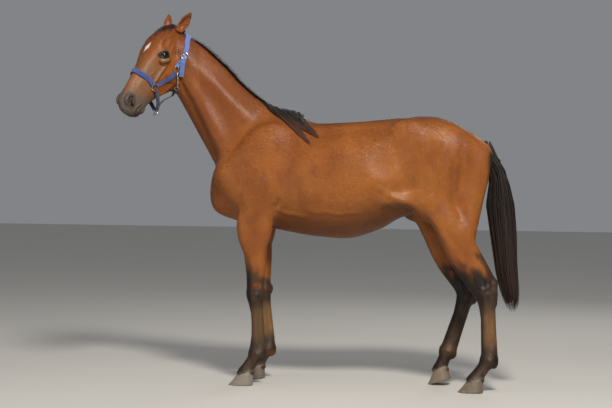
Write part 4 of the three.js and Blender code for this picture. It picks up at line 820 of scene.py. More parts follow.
def skin_field(p, centre, reach):
    """The flesh and its relief, drawn in by the coat's depth, and then the lids at the eye's own size."""
    d = field(p, FLESH_UNDER_SKIN.near(centre, reach)) + COAT_DEPTH
    return add_shapes(d, p, LIDS.near(centre, reach))


# ---------------- one closed skin over the whole field
# size of a cell on the trunk; the head and lower legs have a half, eyes and lips a quarter
COARSE = 12.0
GRID_LOW = vec(-1440, -420, -24)


def cell_size(centres):
    """4, 2 or 1 quarters of a coarse cell, by the part of the body the cell lies in."""
    size = np.full(len(centres), 4)
    rel = centres - POLL
    s, d, l = rel @ FACE_AXIS, rel @ FACE_FRONT, rel @ FACE_LEFT
    head = (s > -150) & (s < 580) & (np.abs(l) < 150) & (d > -300) & (centres[:, 0] < -860)
    size[head | (centres[:, 2] < 560)] = 2
    lips = (s > 418) & (s < 560)
    eye = np.minimum(np.linalg.norm(centres - eye_centre(1), axis=1),
                     np.linalg.norm(centres - eye_centre(-1), axis=1))
    size[head & (lips | (eye < 52))] = 1
    return size


def cells_at_surface(distance):
    """Coarse cells that the surface may pass through, found from large blocks down to small."""
    span = COARSE * 8
    counts = np.ceil((vec(820, 330, 2060) - GRID_LOW) / span).astype(int)
    cells = np.stack(np.meshgrid(*(np.arange(n) for n in counts), indexing="ij"), -1).reshape(-1, 3)
    corners = np.stack(np.meshgrid([0, 1], [0, 1], [0, 1], indexing="ij"), -1).reshape(-1, 3)
    while True:
        centres = GRID_LOW + (cells + 0.5) * span
        values = by_block(centres, distance)
        slack = 14 if span > COARSE else 7
        cells = cells[np.abs(values) < span * 0.87 * 1.25 + slack]
        if span <= COARSE:
            return cells
        cells = (cells[:, None] * 2 + corners).reshape(-1, 3)
        span /= 2


def surface_net(distance):
    """Vertices and faces of the zero surface over cells of three sizes."""
    cells = cells_at_surface(distance)
    unit_cell = COARSE / 4
    side = 1 << 12

    def pack(v):
        return (v[..., 0] * side + v[..., 1]) * side + v[..., 2]

    codes = pack(cells)
    order = np.argsort(codes)
    codes, cells = codes[order], cells[order]
    sizes = cell_size(GRID_LOW + (cells + 0.5) * COARSE)

    def size_of(coarse_cells):
        at = np.clip(np.searchsorted(codes, pack(coarse_cells)), 0, len(codes) - 1)
        found = codes[at] == pack(coarse_cells)
        return np.where(found, sizes[at], 0)

    quads, crossings = [], []
    for size in (1, 2, 4):
        mine = cells[sizes == size] * 4
        if not len(mine):
            continue
        ticks = np.arange(0, 5, size)
        local = np.stack(np.meshgrid(ticks, ticks, ticks, indexing="ij"), -1).reshape(-1, 3)
        corners = np.unique(pack((mine[:, None] + local).reshape(-1, 3)))
        spots = np.column_stack([corners // (side * side), corners // side % side, corners % side])
        values = by_block(GRID_LOW + spots * unit_cell, distance)
        for axis in range(3):
            step = np.eye(3, dtype=int)[axis] * size
            far = np.searchsorted(corners, pack(spots + step))
            far_ok = (far < len(corners)) & (corners[np.minimum(far, len(corners) - 1)] == pack(spots + step))
            start = np.flatnonzero(far_ok)
            end = far[start]
            crosses = (values[start] < 0) != (values[end] < 0)
            start, end = start[crosses], end[crosses]
            b, c = (axis + 1) % 3, (axis + 2) % 3
            around = np.zeros((4, 3), int)
            around[1:3, b] = around[2:4, c] = -size
            beside = spots[start][:, None] + around          # origins of the four cells of this size
            whole = beside // 4
            held = size_of(whole.reshape(-1, 3)).reshape(-1, 4)
            fine = (held >= size).all(1) & (held == size).any(1)
            start, end, beside, held = start[fine], end[fine], beside[fine], held[fine]
            origin = beside // held[..., None] * held[..., None]
            share = values[start] / (values[start] - values[end])
            hit = spots[start] + share[:, None] * step
            code = pack(origin)
            inside_first = values[start] < 0
            code = np.where(inside_first[:, None], code, code[:, ::-1])
            quads.append(code)
            crossings.append(np.repeat(hit, 4, axis=0))
    _, index = np.unique(np.concatenate(quads), return_inverse=True)
    hits, count = np.concatenate(crossings), np.bincount(index.ravel())
    vertices = np.column_stack([np.bincount(index.ravel(), hits[:, a]) / count for a in range(3)])
    return GRID_LOW + vertices * unit_cell, index.reshape(-1, 4)


def faces_of(quads):
    """Four-sided faces, and three-sided ones where a large cell stands beside two small ones."""
    same = quads == np.roll(quads, -1, axis=1)
    once = same.sum(1) == 1
    return quads[~same.any(1)], quads[once][~same[once]].reshape(-1, 3)


def normals_of(points, quads, threes):
    """Normals at the vertices, from the faces around them."""
    total = np.zeros_like(points)
    for faces in (quads, threes):
        a, b, c, d = (points[faces[:, k]] for k in (0, 1, 2, -1))
        across = np.cross(c - a, d - b)
        for column in faces.T:
            for axis in range(3):
                total[:, axis] += np.bincount(column, across[:, axis], len(points))
    return unit(total + 1e-9)


# ---------------- places on the body
def head_coordinates(p):
    rel = p - POLL
    return rel @ FACE_AXIS, rel @ FACE_FRONT, rel @ FACE_LEFT


def neck_coordinates(p):
    rel = p - NECK_BASE
    return rel @ NECK_AXIS, rel @ NECK_RISE


def on_head_share(p):
    """1 on the head and ears, 0 on the neck and body, with a soft edge behind the jaw."""
    s, d, _ = head_coordinates(p)
    front = smooth((s + 36) * 0.832 + (d + 80) * 0.555, -26, 26)
    above_throat = smooth((s - 300) * -0.3 + (d + 262) * 0.954, -26, 26)
    return front * above_throat * (p[:, 0] < -820)


def chain_distance(p, line, radii=None):
    """Distance to a line through points, less a radius that changes along it."""
    best = np.full(len(p), FAR_AWAY)
    radii = np.zeros(len(line)) if radii is None else radii
    for a, b, ra, rb in zip(line, line[1:], radii, radii[1:]):
        best = np.minimum(best, rod(a, b, ra, rb).distance(p))
    return best


def ripple(p, size, seed=0):
    """Soft unequal patches of about the given size, from -1 to 1."""
    rng = np.random.default_rng(SEED + seed)
    total = np.zeros(len(p))
    for _ in range(7):
        way = unit(rng.normal(size=3)) * rng.uniform(0.6, 1.5) * 2 * math.pi / size
        bend = unit(rng.normal(size=3)) * 2 * math.pi / (size * 1.7)
        total += np.sin(p @ way + rng.uniform(0, 6.28) + 1.4 * np.sin(p @ bend + rng.uniform(0, 6.28)))
    return np.clip(total / 3.4, -1, 1)


# ---------------- colours
def paint(red, green, blue):
    """A display colour as the linear light that the shaders take."""
    c = vec(red, green, blue) / 255
    return np.where(c <= 0.04045, c / 12.92, ((c + 0.055) / 1.055) ** 2.4)


BAY = paint(152, 86, 36)
GOLDEN_BAY = paint(174, 106, 46)
RED_BAY = paint(134, 72, 34)
DARK_BAY = paint(82, 44, 22)
BLACK_POINT = paint(38, 28, 23)
LEG_BROWN = paint(92, 70, 54)
GOLDEN_CANNON = paint(150, 110, 66)
CORONET_BAND = paint(150, 136, 122)
DUN_FACE = paint(138, 100, 68)
GREY_MUZZLE = paint(116, 100, 90)
DARK_LIP = paint(66, 54, 50)
DARK_SKIN = paint(26, 20, 18)
PALE_LID = paint(154, 124, 96)
STAR_WHITE = paint(238, 234, 230)
EAR_LINING = paint(150, 116, 88)
# painted highlight: a light orange for the front of the nose
NOSE_HIGHLIGHT = paint(176, 112, 78)
HAIR_BLACK, HAIR_SOFT_BLACK, HAIR_BROWN = paint(22, 17, 16), paint(48, 37, 32), paint(96, 58, 40)
IRIS, IRIS_STREAK, PUPIL = paint(38, 24, 17), paint(60, 38, 24), paint(12, 12, 18)
EYE_EDGE, EYE_WHITE = paint(18, 13, 12), paint(120, 104, 96)
HORN_RING, HORN_STREAK, HOOF_DUST = paint(96, 86, 76), paint(176, 164, 146), paint(150, 130, 104)
NEW_HORN, WORN_HORN = paint(196, 184, 166), paint(92, 78, 66)
NICKEL, DULL_NICKEL = paint(214, 208, 196), paint(168, 160, 146)
THREAD, PALE_THREAD = paint(60, 82, 150), paint(128, 150, 206)
FLOOR, PALE_FLOOR = paint(208, 205, 199), paint(214, 211, 205)


def lay(colour, over, amount):
    return colour + (over - colour) * np.clip(amount, 0, 1)[:, None]


def spot_at(p, centre, size):
    return np.exp(-(((p - np.asarray(centre)) / np.asarray(size, float)) ** 2).sum(1))


def body_colour(p, n):
    colour = np.tile(BAY, (len(p), 1))
    x, y, z = p.T
    patches = ripple(p, 260)
    colour = lay(colour, GOLDEN_BAY, 0.35 + 0.3 * patches)
    colour = lay(colour, RED_BAY, 0.45 * smooth(ripple(p, 150, 1), 0, 1))
    flank = spot_at(p, (180, 0, 1090), (230, 900, 130))
    colour = lay(colour, GOLDEN_BAY, 0.7 * flank * smooth(np.abs(y), 120, 220))
    topline = smooth(n[:, 2], 0.55, 0.98) * smooth(z, 1250, 1340)
    colour = lay(colour, DARK_BAY, 0.42 * topline)
    # painted shade: the underside of the belly, behind the breast, is darkened where it faces down
    below = smooth(-n[:, 2], 0.2, 0.85) * smooth(z, 1060, 940) * smooth(x, -640, -500)
    colour = lay(colour, DARK_BAY, 0.6 * below)
    along_neck, rise = neck_coordinates(p)
    on_neck = smooth(along_neck, 40, 260)
    colour = lay(colour, RED_BAY, 0.72 * on_neck)
    colour = lay(colour, DARK_BAY, 0.3 * on_neck * smooth(rise, 20, 170) * (0.6 + 0.4 * patches))
    crest = chain_distance(p - Y * 16, CREST_LINE)
    colour = lay(colour, BLACK_POINT, 0.9 * smooth(crest, 36, 14))
    dock = smooth(x, 690, 716) * smooth(z, 1262, 1216)
    return lay(colour, BLACK_POINT, dock)


def limb_centre(p):
    """The middle of the limb that each point belongs to, at the point's height."""
    fore, left = p[:, 0] < FORE_FROM_HIND, p[:, 1] < 0
    centre = np.empty_like(p)
    for name, limb in LIMBS.items():
        mine = (fore == name.startswith("fore")) & (left == (limb["side"] < 0))
        line = sorted(joints_of(limb).values(), key=lambda q: q[2])
        for axis in (0, 1):
            centre[mine, axis] = np.interp(p[mine, 2], [q[2] for q in line], [q[axis] for q in line])
    centre[:, 2] = p[:, 2]
    return centre


def limb_colour(p, colour):
    """Dark points that climb above the knees and hocks, with cannons bleached brown on their flat sides, and
    painted light and shade in how golden or black each leg is.
    """
    x, y, z = p.T
    fore, near_side = x < FORE_FROM_HIND, y < 0
    behind = x - limb_centre(p)[:, 0]
    front, back = smooth(behind, -8, -34), smooth(behind, 6, 38)
    streaks = ripple(p * [1, 1, 0.2], 26, 2)
    edge = 34 * ripple(p, 90, 3) + 26 * streaks
    climbs = np.where(fore, 80 * front - 20 * back, 30 * front + 90 * back)
    dark = smooth(z + edge - climbs, np.where(fore, 640, 690), np.where(fore, 470, 520)) * smooth(z, 860, 760)
    inner = smooth(z, 900, 700) * smooth(np.abs(y), 120, 60)
    colour = lay(colour, GOLDEN_BAY, 0.35 * inner)
    colour = lay(colour, DARK_BAY, 0.8 * smooth(dark, 0.0, 0.6))
    joint_height = np.where(fore, 482, 540)
    joint = smooth(np.abs(z - joint_height), 110, 40)
    under_fetlock = back * smooth(np.abs(z - 158), 60, 20)
    black = np.clip(0.3 + 0.55 * front + 0.3 * joint + 0.6 * under_fetlock + 0.22 * streaks, 0, 1)
    # painted shade: the far hind leg is made blacker for the shade it stands in
    black = np.where(fore | near_side, black, np.clip(black + 0.4, 0, 1))
    point = LEG_BROWN + (BLACK_POINT - LEG_BROWN) * black[:, None]
    share = smooth(dark, 0.25, 0.95)[:, None]
    colour = colour * (1 - share) + point * share
    # partly painted light: the cannons' golden brown is their own, but each leg's share copies its light,
    # most on the sunlit far foreleg and least on the shaded far hind leg
    strength = np.select([fore & near_side, fore, near_side], [0.4, 0.95, 0.8], 0.1)
    cannon = smooth(z, 215, 290) * smooth(z, 450, 380) * (1 - 0.85 * front)
    colour = lay(colour, GOLDEN_CANNON, cannon * strength * (0.75 + 0.25 * streaks))
    far_fetlock = spot_at(p, (500, 122, 196), (40, 60, 30)) * 0.45
    far_fore_tuft = spot_at(p, (-462, 122, 138), (30, 50, 26)) * 0.7
    colour = lay(colour, GOLDEN_CANNON, far_fetlock)
    colour = lay(colour, BAY, far_fore_tuft)
    for limb in LIMBS.values():
        centre = mirrored(limb["coronet"], limb["side"])
        top = p - centre
        tall = top[:, 2] + 0.3 * (np.cos(math.radians(limb["toe_out"])) * -top[:, 0])
        near_foot = np.hypot(top[:, 0], top[:, 1]) < 80
        band = smooth(np.abs(tall - 3), 11, 3) * near_foot
        colour = lay(colour, CORONET_BAND, band * (0.55 if limb["sole_tilt"] else 0.25))
    return colour


def head_colour(p, n):
    s, d, l = head_coordinates(p)
    side = np.abs(l)
    colour = np.tile(BAY, (len(p), 1))
    front = smooth(n @ FACE_FRONT, 0.35, 0.9)
    colour = lay(colour, RED_BAY, 0.75 * smooth(s, 150, 60) + 0.35 * front * smooth(s, 300, 180))
    cheek = spot_at(np.column_stack([s, d, side]), (200, -170, 80), (90, 70, 60))
    colour = lay(colour, GOLDEN_BAY, 0.55 * cheek)
    above_crest = smooth(d, -122 + 6 * ripple(p, 40, 8), -98)
    colour = lay(colour, DUN_FACE, 0.85 * smooth(s, 190, 270) * above_crest * (1 - 0.5 * front))
    colour = lay(colour, DARK_BAY, 0.3 * smooth(s, 330, 250) * smooth(d, -120, -170) * smooth(d, -290, -200))
    colour = lay(colour, GREY_MUZZLE, smooth(s + 0.3 * (-80 - d) + 14 * ripple(p, 46, 4), 368, 452))
    # painted highlight: light orange laid on the front of the nose below the noseband, where it faces forward
    nose_highlight = front * smooth(s, 300, 340) * smooth(s, 452, 396)
    colour = lay(colour, NOSE_HIGHLIGHT, 0.6 * nose_highlight)
    colour = lay(colour, DARK_LIP, 0.8 * smooth(s, 452, 500) * smooth(d, -84, -128))
    lips = chain_distance(p, head_line_at(MOUTH))
    colour = lay(colour, DARK_SKIN, 0.85 * smooth(lips, 9, 3))
    for side_of in (-1, 1):
        nostril = chain_distance(p, head_line_at(NOSTRIL_LINE, side_of))
        colour = lay(colour, DARK_LIP, 0.7 * smooth(nostril, 30, 12))
        # partly painted shade: the nostril's own dark skin, made nearly black along its opening for the shade
        # of its depth
        colour = lay(colour, DARK_SKIN, smooth(nostril, 11, 6))
    for side_of in (-1, 1):
        along, brow, out = eye_frame(side_of)
        rel = p - eye_centre(side_of)
        a, b, c = rel @ along, rel @ brow, rel @ out
        away = np.sqrt((a / 1.5) ** 2 + b ** 2)
        facing = smooth(c, -6, 10)
        colour = lay(colour, DUN_FACE, 0.8 * smooth(away, 46, 22) * facing)
        rim = lid_opening(side_of).distance(p)
        brow_arc = smooth(np.abs(b - 27), 9, 2) * smooth(np.abs(a), 34, 14)
        colour = lay(colour, PALE_LID, 0.65 * brow_arc * facing)
        colour = lay(colour, DARK_SKIN, 0.8 * smooth(away, 27, 19) * facing)
        colour = lay(colour, DARK_SKIN, smooth(rim, 7, 2.5) * facing)
        tear = spot_at(np.column_stack([a, b, c]), (31, -7, 12), (10, 5, 12))
        colour = lay(colour, DARK_SKIN, 0.8 * tear)
        # painted shade: a dark spot in the furrow behind the eye
        painted_hollow_shade = spot_at(np.column_stack([s, d, l * side_of]), (108, -108, 84), (15, 9, 20))
        colour = lay(colour, DARK_SKIN, 0.75 * painted_hollow_shade)
    poll = chain_distance(p, head_line_at([(-40, -60, 0), (-10, -30, 0), (24, 0, 0)]))
    colour = lay(colour, BLACK_POINT, 0.85 * smooth(poll, 44, 14))
    lean = l - 16 + (s - 176) * 0.28
    star = np.abs(s - 176) / 31 + np.abs(lean) / 15
    star_edge = 0.1 * ripple(p, 12, 5)
    colour = lay(colour, STAR_WHITE, smooth(star + star_edge, 1.08, 0.86) * (d > -20))
    return ear_colour(p, n, colour)


def ear_colour(p, n, colour):
    for l in (-1, 1):
        root, tip = ear_root(l), ear_tip(l)
        rel = p - root
        axis = unit(tip - root)
        share = rel @ axis / np.linalg.norm(tip - root)
        away = np.linalg.norm(rel - np.outer(rel @ axis, axis), axis=1)
        ear = smooth(share, 0.02, 0.2) * (away < 48)
        opening = unit(FACE_LEFT * l + FACE_FRONT * 0.25 + FACE_AXIS * 0.35)
        inside = smooth(n @ opening, 0.1, -0.3) * smooth(rel @ opening, -16, 0) * (away < 22)
        colour = lay(colour, BAY, 0.6 * ear)
        colour = lay(colour, EAR_LINING, 0.75 * ear * inside)
        colour = lay(colour, DARK_BAY, 0.7 * ear * smooth(share, 0.72, 1.0))
    return colour


def coat_colour(p, n):
    """The colour of skin and hair roots alike, at points of the surface."""
    colour = limb_colour(p, body_colour(p, n))
    head = on_head_share(p)
    near_head = head > 0
    colour[near_head] = lay(colour[near_head], head_colour(p[near_head], n[near_head]), head[near_head])
    mottle = 1 + 0.05 * ripple(p, 60, 6) + 0.04 * ripple(p, 24, 7)
    return colour * mottle[:, None]


# ---------------- making a piece
eye_low, eye_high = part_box("eye_left")
FRAME_SHIFT = np.array((eye_low + eye_high) / 2) - eye_centre(1) / 1000


def place(points):
    """From the body's millimetres to the frame's metres."""
    return np.asarray(points) / 1000 + FRAME_SHIFT


def add_object(name, data):
    thing = bpy.data.objects.new(name, data)
    bpy.context.scene.collection.objects.link(thing)
    return thing


def make_piece(name, points, faces, material):
    """Faces are a list of arrays, each of faces with one number of corners."""
    mesh = bpy.data.meshes.new(name)
    loops = np.concatenate([f.reshape(-1) for f in faces]).astype(np.int32)
    totals = np.concatenate([np.full(len(f), f.shape[1]) for f in faces]).astype(np.int32)
    mesh.vertices.add(len(points))
    mesh.vertices.foreach_set("co", place(points).astype(np.float32).ravel())
    mesh.loops.add(len(loops))
    mesh.loops.foreach_set("vertex_index", loops)
    mesh.polygons.add(len(totals))
    mesh.polygons.foreach_set("loop_start", (np.cumsum(totals) - totals).astype(np.int32))
    mesh.polygons.foreach_set("use_smooth", np.full(len(totals), True))
    mesh.update(calc_edges=True)
    mesh.validate()
    mesh.materials.append(material)
    return add_object(name, mesh)


def faces_between(rings, around):
    """Four-sided faces from each ring of corners to the next."""
    first = np.arange(rings - 1)[:, None] * around
    base, after = first + np.arange(around), first + (np.arange(around) + 1) % around
    return np.stack([base, base + around, after + around, after], -1).reshape(-1, 4)


def ring_caps(rings, around):
    """One face over the first ring and one over the last."""
    return [np.arange(around)[None], (np.arange(around)[::-1] + (rings - 1) * around)[None]]


def set_colour(piece, name, colours):
    attribute = piece.data.color_attributes.new(name, "FLOAT_COLOR", "POINT")
    rgba = np.column_stack([np.clip(colours, 0, 1), np.ones(len(colours))]).astype(np.float32)
    attribute.data.foreach_set("color", rgba.ravel())


def finish_piece(piece, slot, *nodes):
    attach(piece, "root")
    if nodes:
        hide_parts(*nodes)
    return piece


# ---------------- materials
class Material:
    """A node material with a short way to add and join nodes."""

    def __init__(self, name, **sockets):
        self.material = bpy.data.materials.new(name)
        self.material.use_nodes = True
        self.tree = self.material.node_tree
        self.shader = self.tree.nodes["Principled BSDF"]
        for socket, value in sockets.items():
            self.shader.inputs[socket.replace("_", " ")].default_value = value

    def node(self, kind, settings=None, **inputs):
        node = self.tree.nodes.new(kind)
        for key, value in (settings or {}).items():
            setattr(node, key, value)
        for key, value in inputs.items():
            self.feed(node.inputs[key.replace("_", " ")], value)
        return node

    def feed(self, socket, value):
        if isinstance(value, bpy.types.NodeSocket):
            self.tree.links.new(value, socket)
        else:
            socket.default_value = value

    def object_coords(self):
        return self.node("ShaderNodeTexCoord").outputs["Object"]

    def noise(self, scale, detail=3.0, vector=None, roughness=0.5):
        vector = vector or self.object_coords()
        return self.node("ShaderNodeTexNoise", Vector=vector, Scale=scale, Detail=detail,
                         Roughness=roughness).outputs["Fac"]

    def attribute(self, name):
        return self.node("ShaderNodeAttribute", {"attribute_name": name}).outputs["Color"]

    def maths(self, operation, a, b=0.0):
        node = self.tree.nodes.new("ShaderNodeMath")
        node.operation = operation
        self.feed(node.inputs[0], a)
        self.feed(node.inputs[1], b)
        return node.outputs[0]

    def spread(self, value, low, high, from_low=0.0, from_high=1.0):
        node = self.node("ShaderNodeMapRange", Value=value, From_Min=from_low, From_Max=from_high,
                         To_Min=low, To_Max=high)
        return node.outputs["Result"]

    def blend(self, amount, a, b, how="MIX"):
        node = self.tree.nodes.new("ShaderNodeMix")
        node.data_type, node.blend_type = "RGBA", how
        self.feed(node.inputs[0], amount)
        self.feed(node.inputs[6], a)
        self.feed(node.inputs[7], b)
        return node.outputs[2]

    def bump(self, height, strength, distance, normal=None):
        node = self.node("ShaderNodeBump", Height=height, Strength=strength, Distance=distance)
        if normal is not None:
            self.feed(node.inputs["Normal"], normal)
        return node.outputs["Normal"]

    def set(self, **sockets):
        for socket, value in sockets.items():
            self.feed(self.shader.inputs[socket.replace("_", " ")], value)


def rgba(colour):
    return (*(float(c) for c in colour), 1.0)


def skin_material():
    m = Material("short_coat_over_skin", Sheen_Weight=0.05, Sheen_Roughness=0.4, Specular_IOR_Level=0.32)
    colour = m.attribute("coat_colour")
    fine = m.noise(420, 2)
    coarse = m.noise(70, 3)
    grain = m.blend(m.spread(fine, 0.0, 1.0, 0.3, 0.7), rgba((0.62,) * 3), rgba((1.3,) * 3))
    shade = m.blend(0.5, colour, grain, "MULTIPLY")
    m.set(Base_Color=shade, Roughness=m.spread(coarse, 0.38, 0.54, 0.3, 0.7),
          Normal=m.bump(fine, 0.35, 0.0012, m.bump(coarse, 0.25, 0.003)))
    return m.material


def coat_material():
    m = Material("short_hair", Sheen_Weight=0.05, Sheen_Roughness=0.35, Specular_IOR_Level=0.34)
    m.set(Base_Color=m.attribute("hair_colour"), Roughness=m.spread(m.noise(160, 2), 0.36, 0.5, 0.3, 0.7))
    return m.material


# ---------------- the skin
net_points, net_faces = surface_net(skin_field)
skin_quads, skin_threes = faces_of(net_faces)
skin_points = with_relief(*settle(net_points, skin_field))
skin_normals = normals_of(skin_points, skin_quads, skin_threes)
skin_colours = coat_colour(skin_points, skin_normals)
skin = make_piece("skin", skin_points, [skin_quads, skin_threes], skin_material())
set_colour(skin, "coat_colour", skin_colours)
LEGS = [f"{name}_{part}" for name in LIMBS for part in ("upper", "lower")]
finish_piece(skin, "coat", "trunk", "neck", "head", "ear_left", "ear_right", "tail_dock", *LEGS)


# ---------------- hair of the body, in short tufts
TUFT_PATCH = 0.003
PIECE_TUFTS = 65000
ROOT_SINK = 0.35            # how deep a tuft is set in the skin


def sample_surface(points, normals, colours, faces, density, count, rng):
    """Roots spread over the skin in proportion to area and density; returns places, normals and colours."""
    threes = np.concatenate([faces[0][:, [0, 1, 2]], faces[0][:, [0, 2, 3]], faces[1]])
    corners = points[threes]
    area = np.linalg.norm(np.cross(corners[:, 1] - corners[:, 0], corners[:, 2] - corners[:, 0]), axis=1)
    weight = area * density[threes].mean(1)
    total = np.cumsum(weight)
    chosen = np.searchsorted(total, np.sort(rng.random(count)) * total[-1])
    u, v = rng.random(count), rng.random(count)
    over = u + v > 1
    u[over], v[over] = 1 - u[over], 1 - v[over]
    share = np.column_stack([1 - u - v, u, v])[..., None]
    corners = threes[np.minimum(chosen, len(threes) - 1)]
    return [(array[corners] * share).sum(1) for array in (points, normals, colours)]


def hair_way(p, n):
    """The way the short coat lies, along the surface: down the face, back over the body, down the legs."""
    s, _, l = head_coordinates(p)
    way = np.tile(vec(0.86, 0, -0.5), (len(p), 1))
    down = smooth(p[:, 2], 980, 760)[:, None]
    way = way * (1 - down) + vec(0.12, 0, -1) * down
    neck_share = smooth(neck_coordinates(p)[0], 60, 260)[:, None]
    way = way * (1 - neck_share) + (-NECK_AXIS * 0.9 - Z * 0.5) * neck_share
    head = on_head_share(p)[:, None]
    crown = smooth(s, 120, 20)[:, None]
    face_way = FACE_AXIS + FACE_FRONT * (-0.35 * smooth(np.abs(l), 20, 70))[:, None]
    face_way = face_way * (1 - crown) + (FACE_FRONT * 0.5 + FACE_AXIS * 0.8) * crown
    for side in (-1, 1):
        root, tip = ear_root(side), ear_tip(side)
        rel = p - root
        ear = (smooth((tip - root) @ rel.T / ((tip - root) @ (tip - root)), 0.02, 0.16)
               * (np.linalg.norm(np.cross(rel, unit(tip - root)), axis=1) < 50))[:, None]
        face_way = face_way * (1 - ear) + unit(tip - root) * ear
    way = way * (1 - head) + face_way * head
    whorl = spot_at(p, (318, -205, 1150), (70, 200, 90)) - spot_at(p, (-560, -150, 1000), (60, 120, 80))
    way = way + np.cross(n, way) * (0.7 * whorl)[:, None]
    way = way - n * (way * n).sum(1, keepdims=True)
    return unit(way + 1e-6)


def add_tufts(name, roots, normals, colours, length, width, rise, unwrap, rng):
    """Slim three-faced blades lying along the body, each with its own small patch of the unwrap."""
    count = len(roots)
    way = hair_way(roots, normals)
    stray = rng.normal(0, 0.16, (count, 1))
    side = np.cross(normals, way)
    way = unit(way + side * stray)
    side = np.cross(normals, way)
    long = length * rng.uniform(0.7, 1.2, count)[:, None]
    wide = width * rng.uniform(0.75, 1.25, count)[:, None]
    tip_rise = rise * rng.uniform(0.5, 1.0, count)[:, None]
    root = roots - normals * ROOT_SINK
    middle = roots + way * long * 0.5 + normals * tip_rise * 0.8
    tip = roots + way * long + normals * tip_rise
    spots = np.stack([root - side * wide * 0.35, root + side * wide * 0.35,
                      middle - side * wide * 0.5, middle + side * wide * 0.5, tip], 1)
    centre = unwrap(roots)
    patch = np.array([[-0.35, -0.5], [0.35, -0.5], [-0.5, 0], [0.5, 0], [0, 0.5]]) * TUFT_PATCH
    uv = centre[:, None] + patch
    tone = colours * rng.normal(1.0, 0.06, (count, 1))
    shades = np.stack([tone * 0.88, tone * 0.88, tone, tone, tone * 1.08], 1)
    order = np.argsort(centre[:, 0], kind="stable")
    for number, start in enumerate(range(0, count, PIECE_TUFTS)):
        rows = order[start:start + PIECE_TUFTS]
        base = np.arange(len(rows))[:, None] * 5
        quads, threes = base + [0, 1, 3, 2], base + [2, 3, 4]
        piece = make_piece(f"{name}_{number + 1}", spots[rows].reshape(-1, 3), [quads, threes], COAT_HAIR)
        set_colour(piece, "hair_colour", shades[rows].reshape(-1, 3))
        layer = piece.data.uv_layers.new(name="OFBake")
        loops = np.concatenate([quads.ravel(), threes.ravel()])
        layer.data.foreach_set("uv", uv[rows].reshape(-1, 2)[loops].astype(np.float32).ravel())
        finish_piece(piece, "coat")


def turn_about(p, centre, axis, front):
    """0 to 1 round an axis, starting and ending opposite to front."""
    side = np.cross(axis, front)
    rel = p - centre
    return np.arctan2(rel @ side, rel @ front) / (2 * math.pi) + 0.5


def limb_number(p):
    return 2 * (p[:, 0] > FORE_FROM_HIND) + (p[:, 1] > 0)


def unwrap_trunk(p):
    """The barrel and neck rolled out: along the body and once round it."""
    along = np.clip((p[:, 0] + 1000) / 1800, 0, 1)
    around = turn_about(p, vec(0, 0, 1110), X, Z)
    u = 0.01 + 0.97 * along
    v = 0.01 + 0.62 * around
    leg = np.clip((920 - p[:, 2]) / 480, 0, 1)
    leg_u = 0.01 + 0.24 * limb_number(p) + 0.2 * turn_about(p, limb_centre(p), Z, Y)
    leg_v = 0.66 + 0.32 * leg
    on_leg = p[:, 2] < 905
    return np.column_stack([np.where(on_leg, leg_u, u), np.where(on_leg, leg_v, v)])


def unwrap_limbs(p):
    u = 0.01 + 0.245 * limb_number(p) + 0.23 * turn_about(p, limb_centre(p), Z, X)
    return np.column_stack([u, 0.01 + 0.97 * np.clip(p[:, 2] / 620, 0, 1)])


def unwrap_head(p):
    s, d, l = head_coordinates(p)
    around = np.arctan2(l, d + 80) / (2 * math.pi) + 0.5
    round_ear = np.arctan2(l - np.sign(l) * 78, d + 55) / (2 * math.pi) + 0.5
    ear_u = 0.01 + 0.2 * (l > 0) + 0.18 * np.clip(round_ear, 0, 1)
    on_ear = s < -22
    v = 0.28 + 0.71 * np.clip((s + 60) / 600, 0, 1)
    ear_v = 0.01 + 0.25 * np.clip((s + 130) / 130, 0, 1)
    return np.column_stack([np.where(on_ear, ear_u, 0.01 + 0.97 * around), np.where(on_ear, ear_v, v)])


def keep_off_bare_skin(p):
    """No tufts on the eyelids' edges, in the nostrils or between the lips."""
    bare = np.zeros(len(p))
    for l in (-1, 1):
        bare = np.maximum(bare, smooth(lid_opening(l).distance(p), 4, 1.5))
        bare = np.maximum(bare, smooth(chain_distance(p, head_line_at(NOSTRIL_LINE, l)), 16, 11))
    return 1 - np.maximum(bare, smooth(chain_distance(p, head_line_at(MOUTH)), 6, 4))


COAT_HAIR = coat_material()
head_part = on_head_share(skin_points) > 0.5
lower_limbs = (skin_points[:, 2] < 600) & ~head_part
barrel = ~head_part & ~lower_limbs
bare_less = np.ones(len(skin_points))
bare_less[head_part] = keep_off_bare_skin(skin_points[head_part])
COAT_SHARE = 1.0
COATS = [
    ("coat_body", barrel, 190000, 13.0, 2.1, 1.7, unwrap_trunk),
    ("coat_head", head_part, 60000, 7.5, 1.25, 1.6, unwrap_head),
    ("coat_limbs", lower_limbs, 60000, 9.5, 1.5, 1.8, unwrap_limbs),
]
for number, (coat_name, region, count, length, width, rise, unwrap) in enumerate(COATS):
    rng = np.random.default_rng(SEED + 20 + number)
    roots = sample_surface(skin_points, skin_normals, skin_colours, (skin_quads, skin_threes),
                           region * bare_less, int(count * COAT_SHARE), rng)
    add_tufts(coat_name, *roots, length, width, rise, unwrap, rng)


# ---------------- long hair
def curve_through(points, count):
    """Even samples of a smooth curve through points."""
    points = np.asarray(points, float)
    ends = np.vstack([2 * points[0] - points[1], points, 2 * points[-1] - points[-2]])
    fine = []
    for a, b, c, d in zip(ends, ends[1:], ends[2:], ends[3:]):
        t = np.linspace(0, 1, 24, endpoint=False)[:, None]
        fine.append(0.5 * (2 * b + (c - a) * t + (2 * a - 5 * b + 4 * c - d) * t ** 2
                           + (3 * b - a - 3 * c + d) * t ** 3))
    fine = np.vstack([*fine, points[-1]])
    run = np.concatenate([[0], np.cumsum(np.linalg.norm(np.diff(fine, axis=0), axis=1))])
    at = np.linspace(0, run[-1], count)
    return np.column_stack([np.interp(at, run, fine[:, axis]) for axis in range(3)])


